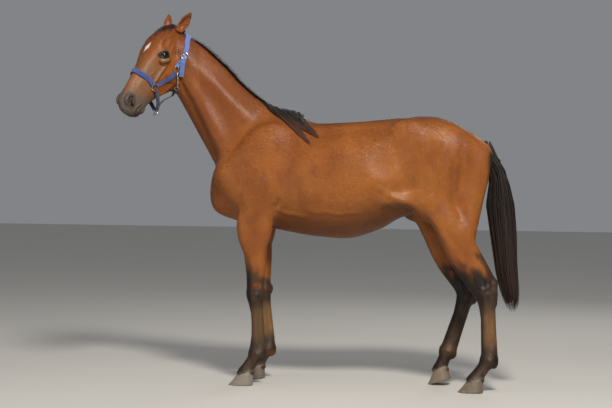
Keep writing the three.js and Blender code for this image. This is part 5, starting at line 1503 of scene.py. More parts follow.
def comb(roots, way, length, heights, steps):
    """Hair lines that start at roots, follow way(p, n) over the body and keep the given heights above it."""
    lines, ups = [], []
    p = roots
    for step in range(steps + 1):
        for _ in range(2):
            height, n = height_and_normal(p, flesh_height)
            p = p + n * (heights[:, step] - height)[:, None]
        lines.append(p)
        ups.append(n)
        along = way(p, n, step / steps)
        along = unit(along - n * (along * n).sum(1, keepdims=True))
        p = p + along * (length / steps)[:, None]
    return np.stack(lines, 1), np.stack(ups, 1)


def locks(name, lines, ups, widths, material, flatness=0.34, brown=0.25):
    """Closed flat locks of hair that taper to a point: four corners round each line."""
    count, steps, _ = lines.shape
    along = unit(np.gradient(lines, axis=1) + 1e-9)
    across = unit(np.cross(along, ups) + 1e-9)
    out = np.cross(across, along)
    half = (widths / 2)[..., None]
    ring = np.stack([lines + across * half, lines + out * half * flatness,
                     lines - across * half, lines - out * half * flatness], 2)
    points = ring.reshape(-1, 3)
    base = (np.arange(count)[:, None] * steps + np.arange(steps - 1)).reshape(-1, 1) * 4
    quads = np.concatenate([base + [k, (k + 1) % 4, (k + 1) % 4 + 4, k + 4] for k in range(4)])
    first = np.arange(count)[:, None] * steps * 4
    ends = np.concatenate([first + [3, 2, 1, 0], first + (steps - 1) * 4 + [0, 1, 2, 3]])
    faces = np.concatenate([quads, ends])
    a, b, c = (points[faces[:, k]] for k in range(3))
    middle = np.concatenate([lines[:, :-1].reshape(-1, 3)] * 4 + [lines[:, 0], lines[:, -1]])
    turned = (np.cross(b - a, c - a) * ((a + c) / 2 - middle)).sum(1)
    if np.median(turned[:len(quads)]) < 0:
        faces = faces[:, ::-1]
    piece = make_piece(name, points, [faces], material)
    shade = np.repeat(np.random.default_rng(SEED).uniform(0.75, 1.3, count), steps * 4)
    tip = np.tile(np.repeat(np.linspace(0, 1, steps), 4), count)
    set_colour(piece, "hair_tone", np.column_stack([shade, tip, shade * 0 + brown]))
    return piece


def long_hair_material():
    m = Material("black_long_hair", Roughness=0.42, Specular_IOR_Level=0.36, Sheen_Weight=0.05,
                 Sheen_Roughness=0.4)
    tone = m.node("ShaderNodeSeparateColor", Color=m.attribute("hair_tone"))
    strands = m.noise(210, 2)
    colour = m.blend(m.spread(strands, 0, 1, 0.35, 0.65), rgba(HAIR_BLACK), rgba(HAIR_SOFT_BLACK))
    brown_tip = m.maths("MULTIPLY", m.spread(tone.outputs["Green"], 0.0, 1.0, 0.35, 0.9),
                        tone.outputs["Blue"])
    colour = m.blend(brown_tip, colour, rgba(HAIR_BROWN))
    red = tone.outputs["Red"]
    grey = m.node("ShaderNodeCombineColor", Red=red, Green=red, Blue=red)
    shade = m.blend(1.0, colour, grey.outputs["Color"], "MULTIPLY")
    m.set(Base_Color=shade, Normal=m.bump(strands, 0.4, 0.0015))
    return m.material


def taper(count, steps, width, rng, root_share=0.6, spread=0.25):
    t = np.linspace(0, 1, steps)
    profile = np.interp(t, [0, 0.15, 0.6, 0.88, 1], [root_share, 1, 0.9, 0.5, 0.05])
    return width * rng.normal(1, spread, (count, 1)).clip(0.5, 1.7) * profile


LONG_HAIR = long_hair_material()


def crest_at(s):
    """Points along the crest of the neck, by distance from its base."""
    known = [station[0] for station in MANE_STATIONS]
    return np.column_stack([np.interp(s, known, column) for column in np.array(CREST_LINE).T])


def add_mane():
    rng = np.random.default_rng(SEED + 1)
    count = 420
    s = np.linspace(205, 672, count) + rng.normal(0, 3, count)
    roots = crest_at(s) + np.column_stack([rng.normal(0, 3, count), rng.uniform(-2, 14, count),
                                           np.zeros(count)])
    length = np.interp(s, [205, 300, 600, 672], [96, 128, 120, 70]) * rng.uniform(0.62, 1.08, count)
    lift = rng.uniform(3, 11, (count, 1)) * np.interp(np.linspace(0, 1, 9), [0, 0.3, 1], [0.6, 1.15, 0.65])

    def way(p, n, t):
        return Y * (1.2 - t) + vec(0.22, 0, -0.9) + np.zeros_like(n)

    lines, ups = comb(roots, way, length, lift, 8)
    mane = locks("mane_locks", lines, ups, taper(count, 9, 11, rng), LONG_HAIR)
    finish_piece(mane, "long_hair", "mane")


def add_crest_fuzz():
    """The short growing-out hair that stands along the near side of the crest."""
    rng = np.random.default_rng(SEED + 2)
    count = 1300
    s = rng.uniform(150, 700, count)
    roots = crest_at(s) + np.column_stack([rng.normal(0, 3, count), rng.uniform(-7, 7, count),
                                           np.zeros(count)])
    length = rng.uniform(10, 30, count) * np.interp(s, [150, 250, 560, 700], [0.4, 0.8, 1, 0.6])
    height, n = height_and_normal(roots, flesh_height)
    roots = roots - n * (height + 4)[:, None]
    way = unit(n - NECK_AXIS * rng.uniform(0.1, 0.7, (count, 1)) + rng.normal(0, 0.22, (count, 3)))
    t = np.linspace(0, 1, 4)[None, :, None]
    droop = -NECK_AXIS * 0.35 + Y * 0.2
    lines = roots[:, None] + (way[:, None] * t + droop * t ** 2) * (length[:, None, None] + 6)
    ups = np.repeat(np.cross(way, Y)[:, None], 4, axis=1)
    fuzz = locks("crest_fuzz", lines, ups, taper(count, 4, 1.7, rng), LONG_HAIR, brown=0.8)
    finish_piece(fuzz, "long_hair")


def add_withers_lock():
    """Two locks that part over the near side of the withers, each gathered to its own tip."""
    rng = np.random.default_rng(SEED + 3)
    count, steps = 190, 18
    s = rng.uniform(-70, 205, count)
    roots = crest_at(s) + np.column_stack([np.zeros(count), rng.uniform(-14, 8, count), np.zeros(count)])
    fore_lock = rng.random(count) < np.interp(s, [-70, 40, 90, 205], [0.0, 0.25, 0.9, 0.75])
    tips = np.where(fore_lock[:, None], vec(-208, -186, 1262), vec(-172, -156, 1304))
    middles = np.where(fore_lock[:, None], vec(-318, -90, 1388), vec(-262, -92, 1382))
    scatter = rng.normal(0, 1, (count, 1))
    length = np.linalg.norm(middles - roots, axis=1) + np.linalg.norm(tips - middles, axis=1)
    length = length * rng.uniform(0.66, 0.99, count)
    lift = rng.uniform(4, 12, (count, 1)) * np.interp(np.linspace(0, 1, steps + 1), [0, 0.2, 1],
                                                      [0.7, 1.1, 0.45])

    def way(p, n, t):
        aim = middles + Z * 13 * scatter if t < 0.4 else tips + vec(0.4, 0, 0.6) * (6 * scatter)
        ahead = unit(aim - p)
        return ahead + Y * (-0.35 * (1 - t)) if t < 0.4 else ahead

    lines, ups = comb(roots, way, length, lift, steps)
    lock = locks("withers_locks", lines, ups, taper(count, steps + 1, 6.5, rng), LONG_HAIR, brown=1.0)
    finish_piece(lock, "long_hair", "withers_lock")


def add_forelock():
    """Thin hair between the ears that falls a little way down the forehead."""
    rng = np.random.default_rng(SEED + 4)
    count, steps = 110, 10
    roots = np.array([head_point(s, d, l) for s, d, l in zip(
        rng.uniform(-34, 4, count), rng.uniform(-60, -30, count), rng.uniform(-22, 26, count))])
    length = rng.uniform(42, 104, count)
    lift = rng.uniform(2, 9, (count, 1)) * np.interp(np.linspace(0, 1, steps + 1), [0, 0.3, 1],
                                                     [0.6, 1.2, 0.4])
    clump = np.round(rng.uniform(-2, 2, (count, 1))) * 0.32
    fan = clump + rng.normal(0, 0.1, (count, 1))

    def way(p, n, t):
        return FACE_FRONT * (1 - t) + FACE_AXIS * (0.5 + t) + FACE_LEFT * (fan - 0.25 * t)

    lines, ups = comb(roots, way, length, lift, steps)
    lock = locks("forelock_locks", lines, ups, taper(count, steps + 1, 3.6, rng), LONG_HAIR, brown=0.6)
    finish_piece(lock, "long_hair", "forelock")


# [height, front, back, half width] of the hanging tail
TAIL_SECTIONS = np.array([
    [1304, 662, 690, 14], [1284, 676, 714, 28], [1240, 698, 757, 38], [1190, 706, 779, 44],
    [1087, 702, 809, 54],
    [961, 684, 842, 60], [805, 710, 854, 58], [612, 740, 862, 48], [519, 764, 868, 36], [450, 790, 867, 24],
    [392, 826, 848, 8],
], float)


def tail_section(z):
    known = TAIL_SECTIONS[::-1]
    return [np.interp(z, known[:, 0], known[:, k]) for k in (1, 2, 3)]


def add_tail():
    rng = np.random.default_rng(SEED + 5)
    count, steps = 760, 24
    turn = rng.uniform(0, 2 * math.pi, count)
    depth = np.sqrt(rng.uniform(0.16, 1, count))
    u, v = np.cos(turn) * depth, np.sin(turn) * depth
    top = np.interp(rng.random(count), [0, 0.5, 1], [1298, 1215, 1010])
    low = (396 + 90 * (1 - np.abs(u)) * rng.random(count) + 330 * rng.random(count) ** 3
           + 60 * depth ** 2 * rng.random(count))
    t = np.linspace(0, 1, steps + 1)
    z = top[:, None] + (low - top)[:, None] * t
    front, back, half = tail_section(z)
    open_out = smooth((top[:, None] - z) / 150, 0, 1)
    dock = np.column_stack([np.interp(top, [960, 1060, 1186, 1264, 1300], [780, 770, 738, 690, 668]),
                            np.zeros(count)])
    dock_radius = np.interp(top, [960, 1060, 1186, 1264, 1300], [9, 15, 22, 34, 38])
    sway = np.sin(z / 118 + rng.uniform(0, 6.28, (count, 1))) * 3.2 * t
    x_full = (front + back) / 2 + u[:, None] * (back - front) / 2 * 0.94 + sway
    y_full = v[:, None] * half * 0.94 + sway * rng.normal(0, 0.8, (count, 1))
    x_root = dock[:, :1] + (np.cos(turn) * dock_radius)[:, None]
    y_root = (np.sin(turn) * dock_radius)[:, None]
    x = x_root * (1 - open_out) + x_full * open_out
    y = y_root * (1 - open_out) + y_full * open_out
    lines = np.stack([x, y, z], 2)
    ups = np.stack([np.cos(turn), np.sin(turn), turn * 0], 1)[:, None].repeat(steps + 1, axis=1)
    widths = taper(count, steps + 1, 8.5, rng) * (0.65 + 0.35 * rng.random((count, 1)))
    finish_piece(locks("tail_locks", lines, ups, widths, LONG_HAIR), "long_hair", "tail_hair")


add_mane()
add_crest_fuzz()
add_withers_lock()
add_forelock()
add_tail()


# ---------------- eyes
def eye_material():
    m = Material("wet_eye", Roughness=0.12, Coat_Weight=1.0, Coat_Roughness=0.02, Coat_IOR=1.376,
                 Specular_IOR_Level=0.5)
    m.set(Base_Color=m.attribute("eye_colour"))
    return m.material


def add_eye(name, l):
    """A ball with a raised cornea; the bar of the pupil lies level across a dark iris."""
    along, brow, out = eye_frame(l)
    turns, rings = 48, 40
    polar = np.concatenate([[0.02], np.linspace(0.06, math.pi - 0.06, rings), [math.pi - 0.01]])
    angle = np.linspace(0, 2 * math.pi, turns, endpoint=False)
    polar, angle = (a.ravel() for a in np.meshgrid(polar, angle, indexing="ij"))
    ways = (np.outer(np.sin(polar) * np.cos(angle), along) + np.outer(np.sin(polar) * np.sin(angle), brow)
            + np.outer(np.cos(polar), out))
    cornea = 1.3 * smooth(polar, 0.78, 0.2)
    points = eye_centre(l) + ways * (EYE_RADIUS - 0.4 + cornea)[:, None]
    quads, caps = faces_between(rings + 2, turns), ring_caps(rings + 2, turns)
    if l > 0:
        quads, caps = quads[:, ::-1], [c[:, ::-1] for c in caps]
    a, b = np.sin(polar) * np.cos(angle) * EYE_RADIUS, np.sin(polar) * np.sin(angle) * EYE_RADIUS
    from_axis = np.hypot(a, b)
    pupil = smooth(np.hypot(a / 8.6, b / 3.8), 1.15, 0.85)
    colour = np.tile(IRIS, (len(points), 1))
    colour = lay(colour, IRIS_STREAK, 0.5 * smooth(np.sin(angle * 23) + np.sin(angle * 37), 0, 1.6))
    colour = lay(colour, PUPIL, pupil)
    colour = lay(colour, EYE_EDGE, smooth(from_axis, 12.5, 15))
    colour = lay(colour, EYE_WHITE, smooth(from_axis, 17.5, 20) + (polar > 1.5))
    piece = make_piece(name, points, [quads, *caps], EYE_FINISH)
    set_colour(piece, "eye_colour", colour)
    return finish_piece(piece, "eye", name.replace("_ball", ""))


def hair_tubes(name, lines, widths, material, slot):
    ups = np.tile(unit(vec(0.3, 0.2, 1)), lines.shape[:2] + (1,))
    return finish_piece(locks(name, lines, ups, widths, material, 1.0), slot)


def add_lashes():
    rng = np.random.default_rng(SEED + 6)
    lines = []
    for l in (-1, 1):
        along, brow, out = eye_frame(l)
        for a in np.linspace(-15, 17, 46) + rng.normal(0, 0.5, 46):
            share = abs(a) / EYE_LENGTH
            b = EYE_HEIGHT * (1 - share ** 2.2) + rng.uniform(-0.3, 0.9)
            c = math.sqrt(max((EYE_RADIUS + 2.6) ** 2 - a * a - b * b, 9)) - 0.5
            root = eye_centre(l) + along * a + brow * b + out * c
            t = np.linspace(0, 1, 6)[:, None]
            reach = rng.uniform(9, 15) * (1 - 0.4 * share)
            lines.append(root + out * reach * (t - 0.25 * t * t) + brow * reach * (-0.5 * t + 0.42 * t * t)
                         + along * (a * 0.02 + rng.normal(0, 0.1)) * reach * t)
    lines = np.array(lines)
    widths = np.tile(np.interp(np.linspace(0, 1, 6), [0, 0.5, 1], [0.75, 0.6, 0.12]), (len(lines), 1))
    hair_tubes("eyelashes", lines, widths, LONG_HAIR, "long_hair")


def add_whiskers():
    """Long feelers on the lips, the chin and below the eyes."""
    rng = np.random.default_rng(SEED + 8)
    s, d, l = head_coordinates(skin_points)
    muzzle = (s > 452) & (d < -70) & (np.abs(l) > 4)
    below_eye = (np.abs(s - 196) < 26) & (np.abs(d + 92) < 8) & (np.abs(l) > 70)
    chosen = np.concatenate([rng.choice(np.flatnonzero(muzzle), 110, False),
                             rng.choice(np.flatnonzero(below_eye), 12, False)])
    roots, n = skin_points[chosen], skin_normals[chosen]
    length = rng.uniform(12, 34, (len(chosen), 1, 1))
    t = np.linspace(0, 1, 5)[None, :, None]
    way = unit(n + rng.normal(0, 0.2, n.shape) + FACE_AXIS * 0.4)
    lines = roots[:, None] - n[:, None] * 0.4 + way[:, None] * length * t - Z * 0.22 * length * t * t
    widths = np.tile(np.interp(np.linspace(0, 1, 5), [0, 1], [0.7, 0.12]), (len(lines), 1))
    hair_tubes("whiskers", lines, widths, LONG_HAIR, "long_hair")


EYE_FINISH = eye_material()
add_eye("eye_left_ball", 1)
add_eye("eye_right_ball", -1)
add_lashes()
add_whiskers()


# ---------------- hooves
HOOF_TOP = dict(front=45, back=43, half=43, slope=0.3)
HOOF_SOLE = dict(front=90, back=46, half=60)
HOOF_HEIGHT, TOE_FLAT = 66.0, 5.0
HOOF_TONES = {
    "foreleg_left": paint(150, 143, 134), "foreleg_right": paint(118, 104, 92),
    "hindleg_left": paint(112, 98, 84), "hindleg_right": paint(134, 118, 98),
}


def hoof_material():
    m = Material("hoof_horn", Specular_IOR_Level=0.45)
    height = m.attribute("hoof_place")
    parts = m.node("ShaderNodeSeparateColor", Color=height)
    tone = m.attribute("hoof_colour")
    rings = m.node("ShaderNodeTexNoise", {"noise_dimensions": "1D"}, W=parts.outputs["Red"], Scale=26.0,
                   Detail=4.0).outputs["Fac"]
    grain = m.node("ShaderNodeTexNoise", {"noise_dimensions": "1D"}, W=parts.outputs["Green"], Scale=90.0,
                   Detail=3.0).outputs["Fac"]
    dust = m.noise(38, 4)
    colour = m.blend(m.spread(rings, 0, 0.7, 0.3, 0.75), tone, rgba(HORN_RING))
    colour = m.blend(m.spread(grain, 0, 0.35, 0.4, 0.75), colour, rgba(HORN_STREAK))
    colour = m.blend(m.spread(dust, 0, 0.6, 0.48, 0.72), colour, rgba(HOOF_DUST))
    m.set(Base_Color=colour, Roughness=m.spread(dust, 0.42, 0.8, 0.4, 0.7),
          Normal=m.bump(rings, 0.5, 0.0018, m.bump(grain, 0.3, 0.0008)))
    return m.material


def add_hoof(name, limb):
    """A wall that runs straight from the coronet to the toe, lower at the heels, ringed by its growth."""
    sides, levels = 56, 15
    share = np.linspace(0, 1, levels)
    angle = np.linspace(0, 2 * math.pi, sides, endpoint=False)
    share, angle = (a.ravel() for a in np.meshgrid(share, angle, indexing="ij"))
    ahead = np.cos(angle)
    top = np.where(ahead > 0, HOOF_TOP["front"], HOOF_TOP["back"])
    sole = np.where(ahead > 0, HOOF_SOLE["front"], HOOF_SOLE["back"])
    ring_wave = 0.55 * np.sin(share * 31 + 0.6 * np.sin(angle)) * (share > 0.06)
    lip = -1.6 * smooth(share, 0.07, 0.0) - 1.0 * smooth(share, 0.93, 1.0)
    grow = ring_wave + lip
    x = ahead * (top * (1 - share) + sole * share + grow)
    y = np.sin(angle) * (HOOF_TOP["half"] * (1 - share) + HOOF_SOLE["half"] * share + grow)
    heel_in = 5 * smooth(-ahead, 0.82, 1.0) * share
    x = x + heel_in
    z = -x * HOOF_TOP["slope"] * (1 - share) - HOOF_HEIGHT * share
    inner = np.linspace(1, 0.0, 6)[1:]
    rim = slice((levels - 1) * sides, levels * sides)
    caps = [np.column_stack([x[rim] * k, y[rim] * k,
                             np.full(sides, -HOOF_HEIGHT + 5 * (1 - k) * (k < 0.85))]) for k in inner[:-1]]
    local = np.vstack([np.column_stack([x, y, z]), *caps, [[0, 0, -HOOF_HEIGHT + 5]], [[0, 0, 0]]])
    turn = math.pi - math.radians(limb["toe_out"]) * limb["side"]
    tilt = math.radians(limb["sole_tilt"])
    about_y = np.array([[math.cos(tilt), 0, math.sin(tilt)], [0, 1, 0], [-math.sin(tilt), 0, math.cos(tilt)]])
    about_z = np.array([[math.cos(turn), -math.sin(turn), 0], [math.sin(turn), math.cos(turn), 0], [0, 0, 1]])
    matrix = about_z @ about_y
    toe = matrix @ vec(HOOF_SOLE["front"], 0, -HOOF_HEIGHT)
    bearing = TOE_FLAT if limb["sole_tilt"] else 0
    x0, y0, _ = mirrored(limb["coronet"], limb["side"])
    points = local @ matrix.T + vec(x0, y0, -toe[2] - bearing)
    points[:, 2] = np.maximum(points[:, 2], 0)
    rows = levels + len(caps)
    quads = faces_between(rows, sides)
    last = (rows - 1) * sides
    step = np.arange(sides)
    bottom = np.column_stack([last + step, np.full(sides, rows * sides), last + (step + 1) % sides])
    lid = np.column_stack([step, (step + 1) % sides, np.full(sides, rows * sides + 1)])
    piece = make_piece(f"{name}_hoof_wall", points, [quads, bottom, lid], HOOF_HORN)
    everywhere = np.concatenate([share, np.full(len(points) - len(share), 1.0)])
    round_it = np.concatenate([angle / (2 * math.pi), np.zeros(len(points) - len(angle))])
    set_colour(piece, "hoof_place", np.column_stack([everywhere, np.abs(round_it - 0.5) * 2, everywhere * 0]))
    tone = np.tile(HOOF_TONES[name], (len(points), 1))
    tone = lay(tone, NEW_HORN, 0.5 * smooth(everywhere, 0.1, 0.0))
    set_colour(piece, "hoof_colour", lay(tone, WORN_HORN, 0.5 * smooth(everywhere, 0.8, 1.0)))
    return finish_piece(piece, "hoof_horn", f"{name}_hoof")


HOOF_HORN = hoof_material()
for limb_name, limb in LIMBS.items():
    add_hoof(limb_name, limb)


# ---------------- halter
STRAP_FLESH = Shapes([*neck_shapes(), *head_shapes()])
WEBBING_LIFT = 1.6              # inner face of a strap above the coat


def strap_height(p, centre, reach):
    return field(p, STRAP_FLESH.near(centre, reach))


def on_head(p, height):
    """Moves points to a given height above the coat, straight out from the surface."""
    for _ in range(10):
        value, n = height_and_normal(p, strap_height)
        p = p + n * (0.9 * (height - value))[:, None]
    return p


def head_core(p):
    s = np.clip(head_coordinates(p)[0], 20, 480)
    return POLL + s[:, None] * FACE_AXIS - 80 * FACE_FRONT


def path_frame(path, facing, spacing=5.0):
    corners = np.array(head_line_at(path))
    rough = curve_through(corners, 60)
    length = np.linalg.norm(np.diff(rough, axis=0), axis=1).sum()
    points = curve_through(corners, max(6, int(length / spacing)))
    along = unit(np.gradient(points, axis=0))
    if facing is None:
        outward = height_and_normal(points, strap_height)[1]
    else:
        outward = np.tile(facing, (len(points), 1))
    across = unit(np.cross(along, outward))
    return points, along, across, unit(np.cross(across, along)), length


WEBBING_FACE = np.array([[-1, 0.35], [-0.97, 0.05], [-0.6, 0], [-0.2, 0], [0.2, 0], [0.6, 0], [0.97, 0.05],
                         [1, 0.35]])
WEBBING_SECTION = np.vstack([WEBBING_FACE, [0, 1] - WEBBING_FACE * [1, 1]])


def add_strap(name, path, width=STRAP_WIDTH, height=WEBBING_LIFT, tone="bright", loops=(0, 0), facing=None):
    """Woven webbing with soft edges, laid on the coat or hanging with one side facing a given way.

    An end with a loop thickens where the strap folds back round a ring's wire."""
    points, along, across, out, length = path_frame(path, facing)
    count, around = len(points), len(WEBBING_SECTION)
    thick = STRAP_THICKNESS * 0.8
    edge, level = WEBBING_SECTION.T
    run = np.linspace(0, length, count)
    folded = 1 + 1.9 * (loops[0] * smooth(run, 15, 5) + loops[1] * smooth(length - run, 15, 5))
    ring = points[:, None] + across[:, None] * (edge * width / 2)[None, :, None]
    flat = ring.reshape(-1, 3)
    depth = (folded[:, None] * level * thick).ravel()
    if facing is None:
        lift = np.interp(run, np.linspace(0, length, np.size(height)), np.atleast_1d(height))
        flat = on_head(flat, np.repeat(lift, around) + depth)
    else:
        depth = depth - np.repeat(folded * thick / 2, around)
        flat = flat + np.repeat(out, around, axis=0) * depth[:, None]
    quads, caps = faces_between(count, around), ring_caps(count, around)
    centre = flat.reshape(count, around, 3).mean(1)
    a, b, c = (flat[quads[:, k]] for k in range(3))
    middles = np.repeat(centre[:-1], around, axis=0)
    if ((np.cross(b - a, c - a) * ((a + c) / 2 - middles)).sum(1)).sum() < 0:
        quads = quads[:, ::-1]
    else:
        caps = [c[:, ::-1] for c in caps]
    piece = make_piece(name + "_webbing", flat, [quads, *caps], WEBBING[tone])
    run = np.repeat(run, around)
    place_across = np.tile(edge * width / 2, count)
    layer = piece.data.uv_layers.new(name="weave")
    loops = np.empty(len(piece.data.loops), np.int32)
    piece.data.loops.foreach_get("vertex_index", loops)
    uv = np.column_stack([run, place_across])[loops] / 1000
    layer.data.foreach_set("uv", uv.astype(np.float32).ravel())
    finish_piece(piece, "webbing", name)
    return points, along, across, out, thick


def webbing_material(name, light, dark):
    m = Material(name, Roughness=0.78, Sheen_Weight=0.35, Sheen_Roughness=0.5, Specular_IOR_Level=0.3)
    weave_map = m.node("ShaderNodeUVMap", {"uv_map": "weave"})
    parts = m.node("ShaderNodeSeparateXYZ", Vector=weave_map.outputs["UV"])
    run, across = parts.outputs["X"], parts.outputs["Y"]
    ribs = m.maths("SINE", m.maths("MULTIPLY", run, 2 * math.pi / 0.0021))
    picks = m.maths("SINE", m.maths("MULTIPLY", across, 2 * math.pi / 0.0016))
    weave = m.maths("MULTIPLY", ribs, picks)
    seam = m.maths("ABSOLUTE", across)
    edge = m.spread(seam, 0.0, 1.0, 0.0085, 0.0125)
    wear = m.noise(120, 4)
    colour = m.blend(m.spread(weave, 0.0, 1.0, -1.0, 1.0), rgba(dark), rgba(light))
    colour = m.blend(m.spread(wear, 0.0, 0.35, 0.5, 0.8), colour, rgba(light * 1.35))
    colour = m.blend(m.maths("MULTIPLY", edge, 0.35), colour, rgba(dark * 0.8))
    m.set(Base_Color=colour, Normal=m.bump(weave, 0.7, 0.0007, m.bump(ribs, 0.3, 0.0006)))
    return m.material


def metal_material():
    m = Material("nickel_plate", Metallic=1.0)
    smear = m.noise(90, 3)
    m.set(Base_Color=m.blend(m.spread(smear, 0, 1, 0.35, 0.7), rgba(NICKEL),
                             rgba(DULL_NICKEL)),
          Roughness=m.spread(smear, 0.18, 0.4, 0.35, 0.7), Normal=m.bump(m.noise(600, 2), 0.08, 0.0004))
    return m.material


def add_tube(name, points, radii, material, slot, *nodes, closed=True, normal=None):
    """Round wire along points; radii may change along it."""
    points = np.asarray(points, float)
    count, around = len(points), 14
    if closed:
        along = unit(np.roll(points, -1, axis=0) - np.roll(points, 1, axis=0))
    else:
        along = unit(np.gradient(points, axis=0))
    normal = np.tile(normal, (count, 1)) if normal is not None and np.ndim(normal) == 1 else normal
    side = unit(np.cross(along, normal))
    up = np.cross(side, along)
    angle = np.linspace(0, 2 * math.pi, around, endpoint=False)
    radii = np.broadcast_to(np.asarray(radii, float), (count,))
    ring = (points[:, None] + side[:, None] * (radii[:, None] * np.cos(angle))[..., None]
            + up[:, None] * (radii[:, None] * np.sin(angle))[..., None])
    quads = faces_between(count + closed, around)[:, [0, 3, 2, 1]] % (count * around)
    faces = [quads] if closed else [quads, *(cap[:, ::-1] for cap in ring_caps(count, around))]
    piece = make_piece(name, ring.reshape(-1, 3), faces, material)
    return finish_piece(piece, slot, *nodes)


def ring_path(centre, along, half_long, half_across, corner, lift, hangs=False, turns=44):
    """The middle line of a flat frame of wire: a rectangle with rounded corners, or an oval."""
    start = head_point(*centre)[None]
    if hangs:
        middle, out = start[0], unit(start - head_core(start))[0]
    else:
        middle = on_head(start, np.array([lift]))[0]
        out = height_and_normal(middle[None], strap_height)[1][0]
    way = head_point(*along) - POLL
    long = unit(way - out * np.dot(way, out))
    side = np.cross(out, long)
    angle = (np.arange(turns) + 0.5) / turns * 2 * math.pi
    c, s = np.cos(angle), np.sin(angle)
    x = half_long * np.sign(c) * np.abs(c) ** corner
    y = half_across * np.sign(s) * np.abs(s) ** corner
    return middle + np.outer(x, long) + np.outer(y, side), middle, long, side, out


def add_ring(name, centre, along, half_long, half_across, wire, corner, lift=None, hangs=False, node=None):
    lift = WEBBING_LIFT + wire if lift is None else lift
    path, middle, long, side, out = ring_path(centre, along, half_long, half_across, corner, lift, hangs)
    add_tube(name, path, wire, METAL, "hardware", node or name.replace("_wire", ""), normal=out)
    return middle, long, side, out


def flip(path):
    return [(s, d, -l) for s, d, l in path]


NOSEBAND_HALF = [(335, -109, 53), (331, -98, 54), (324, -62, 55), (326, -14, 38)]
CHEEK = [(320, -127, 53), (309, -132, 54), (271, -150, 62), (244, -160, 72), (212, -167, 80), (203, -169, 83)]
CROWN = [(107, -143, 117), (92, -136, 117), (66, -128, 114), (37, -118, 102), (2, -120, 74), (-20, -108, 34),
         (-20, -104, -6), (4, -114, -48), (50, -126, -76), (110, -140, -84), (164, -150, -86),
         (177, -151, -87)]
CROWN_HEIGHTS = [1.0, 1.2, 4, 8, 9.5, 9.5, 9.5, 8, 5, 2.5, 1.6, 1.6]
CROWN_TAIL = [(107, -143, 117), (120, -149, 116), (134, -156, 114), (150, -166, 110), (172, -182, 105),
              (200, -203, 99)]
TAIL_HEIGHTS = [1.2, 5, 9, 7.5, 5, 4]
BILLET = [(125, -149, 115), (134, -150, 111), (151, -150, 100), (167, -149, 92), (177, -151, 89)]
THROAT = [(250, -242, 50), (257, -251, 42), (262, -262, 20), (262, -266, -4), (256, -260, -32),
          (238, -236, -62),
          (210, -186, -82), (203, -175, -84)]
CHIN = [(340, -140, 52), (352, -153, 51), (364, -174, 45), (382, -203, 31), (398, -222, 16), (405, -229, 6)]
JAW = [(405, -231, 0), (388, -231, 0), (357, -231, 0), (320, -243, 0), (279, -268, -2), (260, -268, -3),
       (250, -262, -3)]

WEBBING = {
    "bright": webbing_material("sky_blue_webbing", paint(124, 152, 222), paint(84, 112, 186)),
    "deep_blue": webbing_material("blue_webbing", paint(76, 100, 176), paint(46, 66, 132)),
    "navy": webbing_material("navy_webbing", paint(44, 56, 104), paint(26, 34, 70)),
}
METAL = metal_material()

STITCH_LENGTH, STITCH_PITCH = 0.0032, 0.0046            # metres
THREAD_RADIUS, THREAD_SIDES = 0.00045, 6


def stitch_tree():
    """A short bar of thread at even steps along each curve."""
    tree = bpy.data.node_groups.new("stitch_rows", "GeometryNodeTree")
    tree.interface.new_socket("Geometry", in_out="INPUT", socket_type="NodeSocketGeometry")
    sizes = {}
    for label, value in (("Pitch", STITCH_PITCH), ("Stitch Length", STITCH_LENGTH),
                         ("Thread Radius", THREAD_RADIUS)):
        sizes[label] = tree.interface.new_socket(label, in_out="INPUT", socket_type="NodeSocketFloat")
        sizes[label].default_value = value
    thread = tree.interface.new_socket("Thread", in_out="INPUT", socket_type="NodeSocketMaterial")
    tree.interface.new_socket("Geometry", in_out="OUTPUT", socket_type="NodeSocketGeometry")
    start, end, spaced, bar, lay_down, aim, tangent, real, finish = (tree.nodes.new(kind) for kind in (
        "NodeGroupInput", "NodeGroupOutput", "GeometryNodeResampleCurve", "GeometryNodeMeshCylinder",
        "GeometryNodeInstanceOnPoints", "FunctionNodeAlignRotationToVector", "GeometryNodeInputTangent",
        "GeometryNodeRealizeInstances", "GeometryNodeSetMaterial"))
    spaced.mode = "LENGTH"
    bar.inputs["Vertices"].default_value = THREAD_SIDES
    aim.axis = "Z"
    for giver, given, taker, taken in (
        (start, "Geometry", spaced, "Curve"), (start, "Pitch", spaced, "Length"),
        (start, "Stitch Length", bar, "Depth"), (start, "Thread Radius", bar, "Radius"),
        (tangent, "Tangent", aim, "Vector"), (spaced, "Curve", lay_down, "Points"),
        (bar, "Mesh", lay_down, "Instance"), (aim, "Rotation", lay_down, "Rotation"),
        (lay_down, "Instances", real, "Geometry"), (real, "Geometry", finish, "Geometry"),
        (start, "Thread", finish, "Material"), (finish, "Geometry", end, "Geometry"),
    ):
        tree.links.new(giver.outputs[given], taker.inputs[taken])
    return tree, sizes, thread


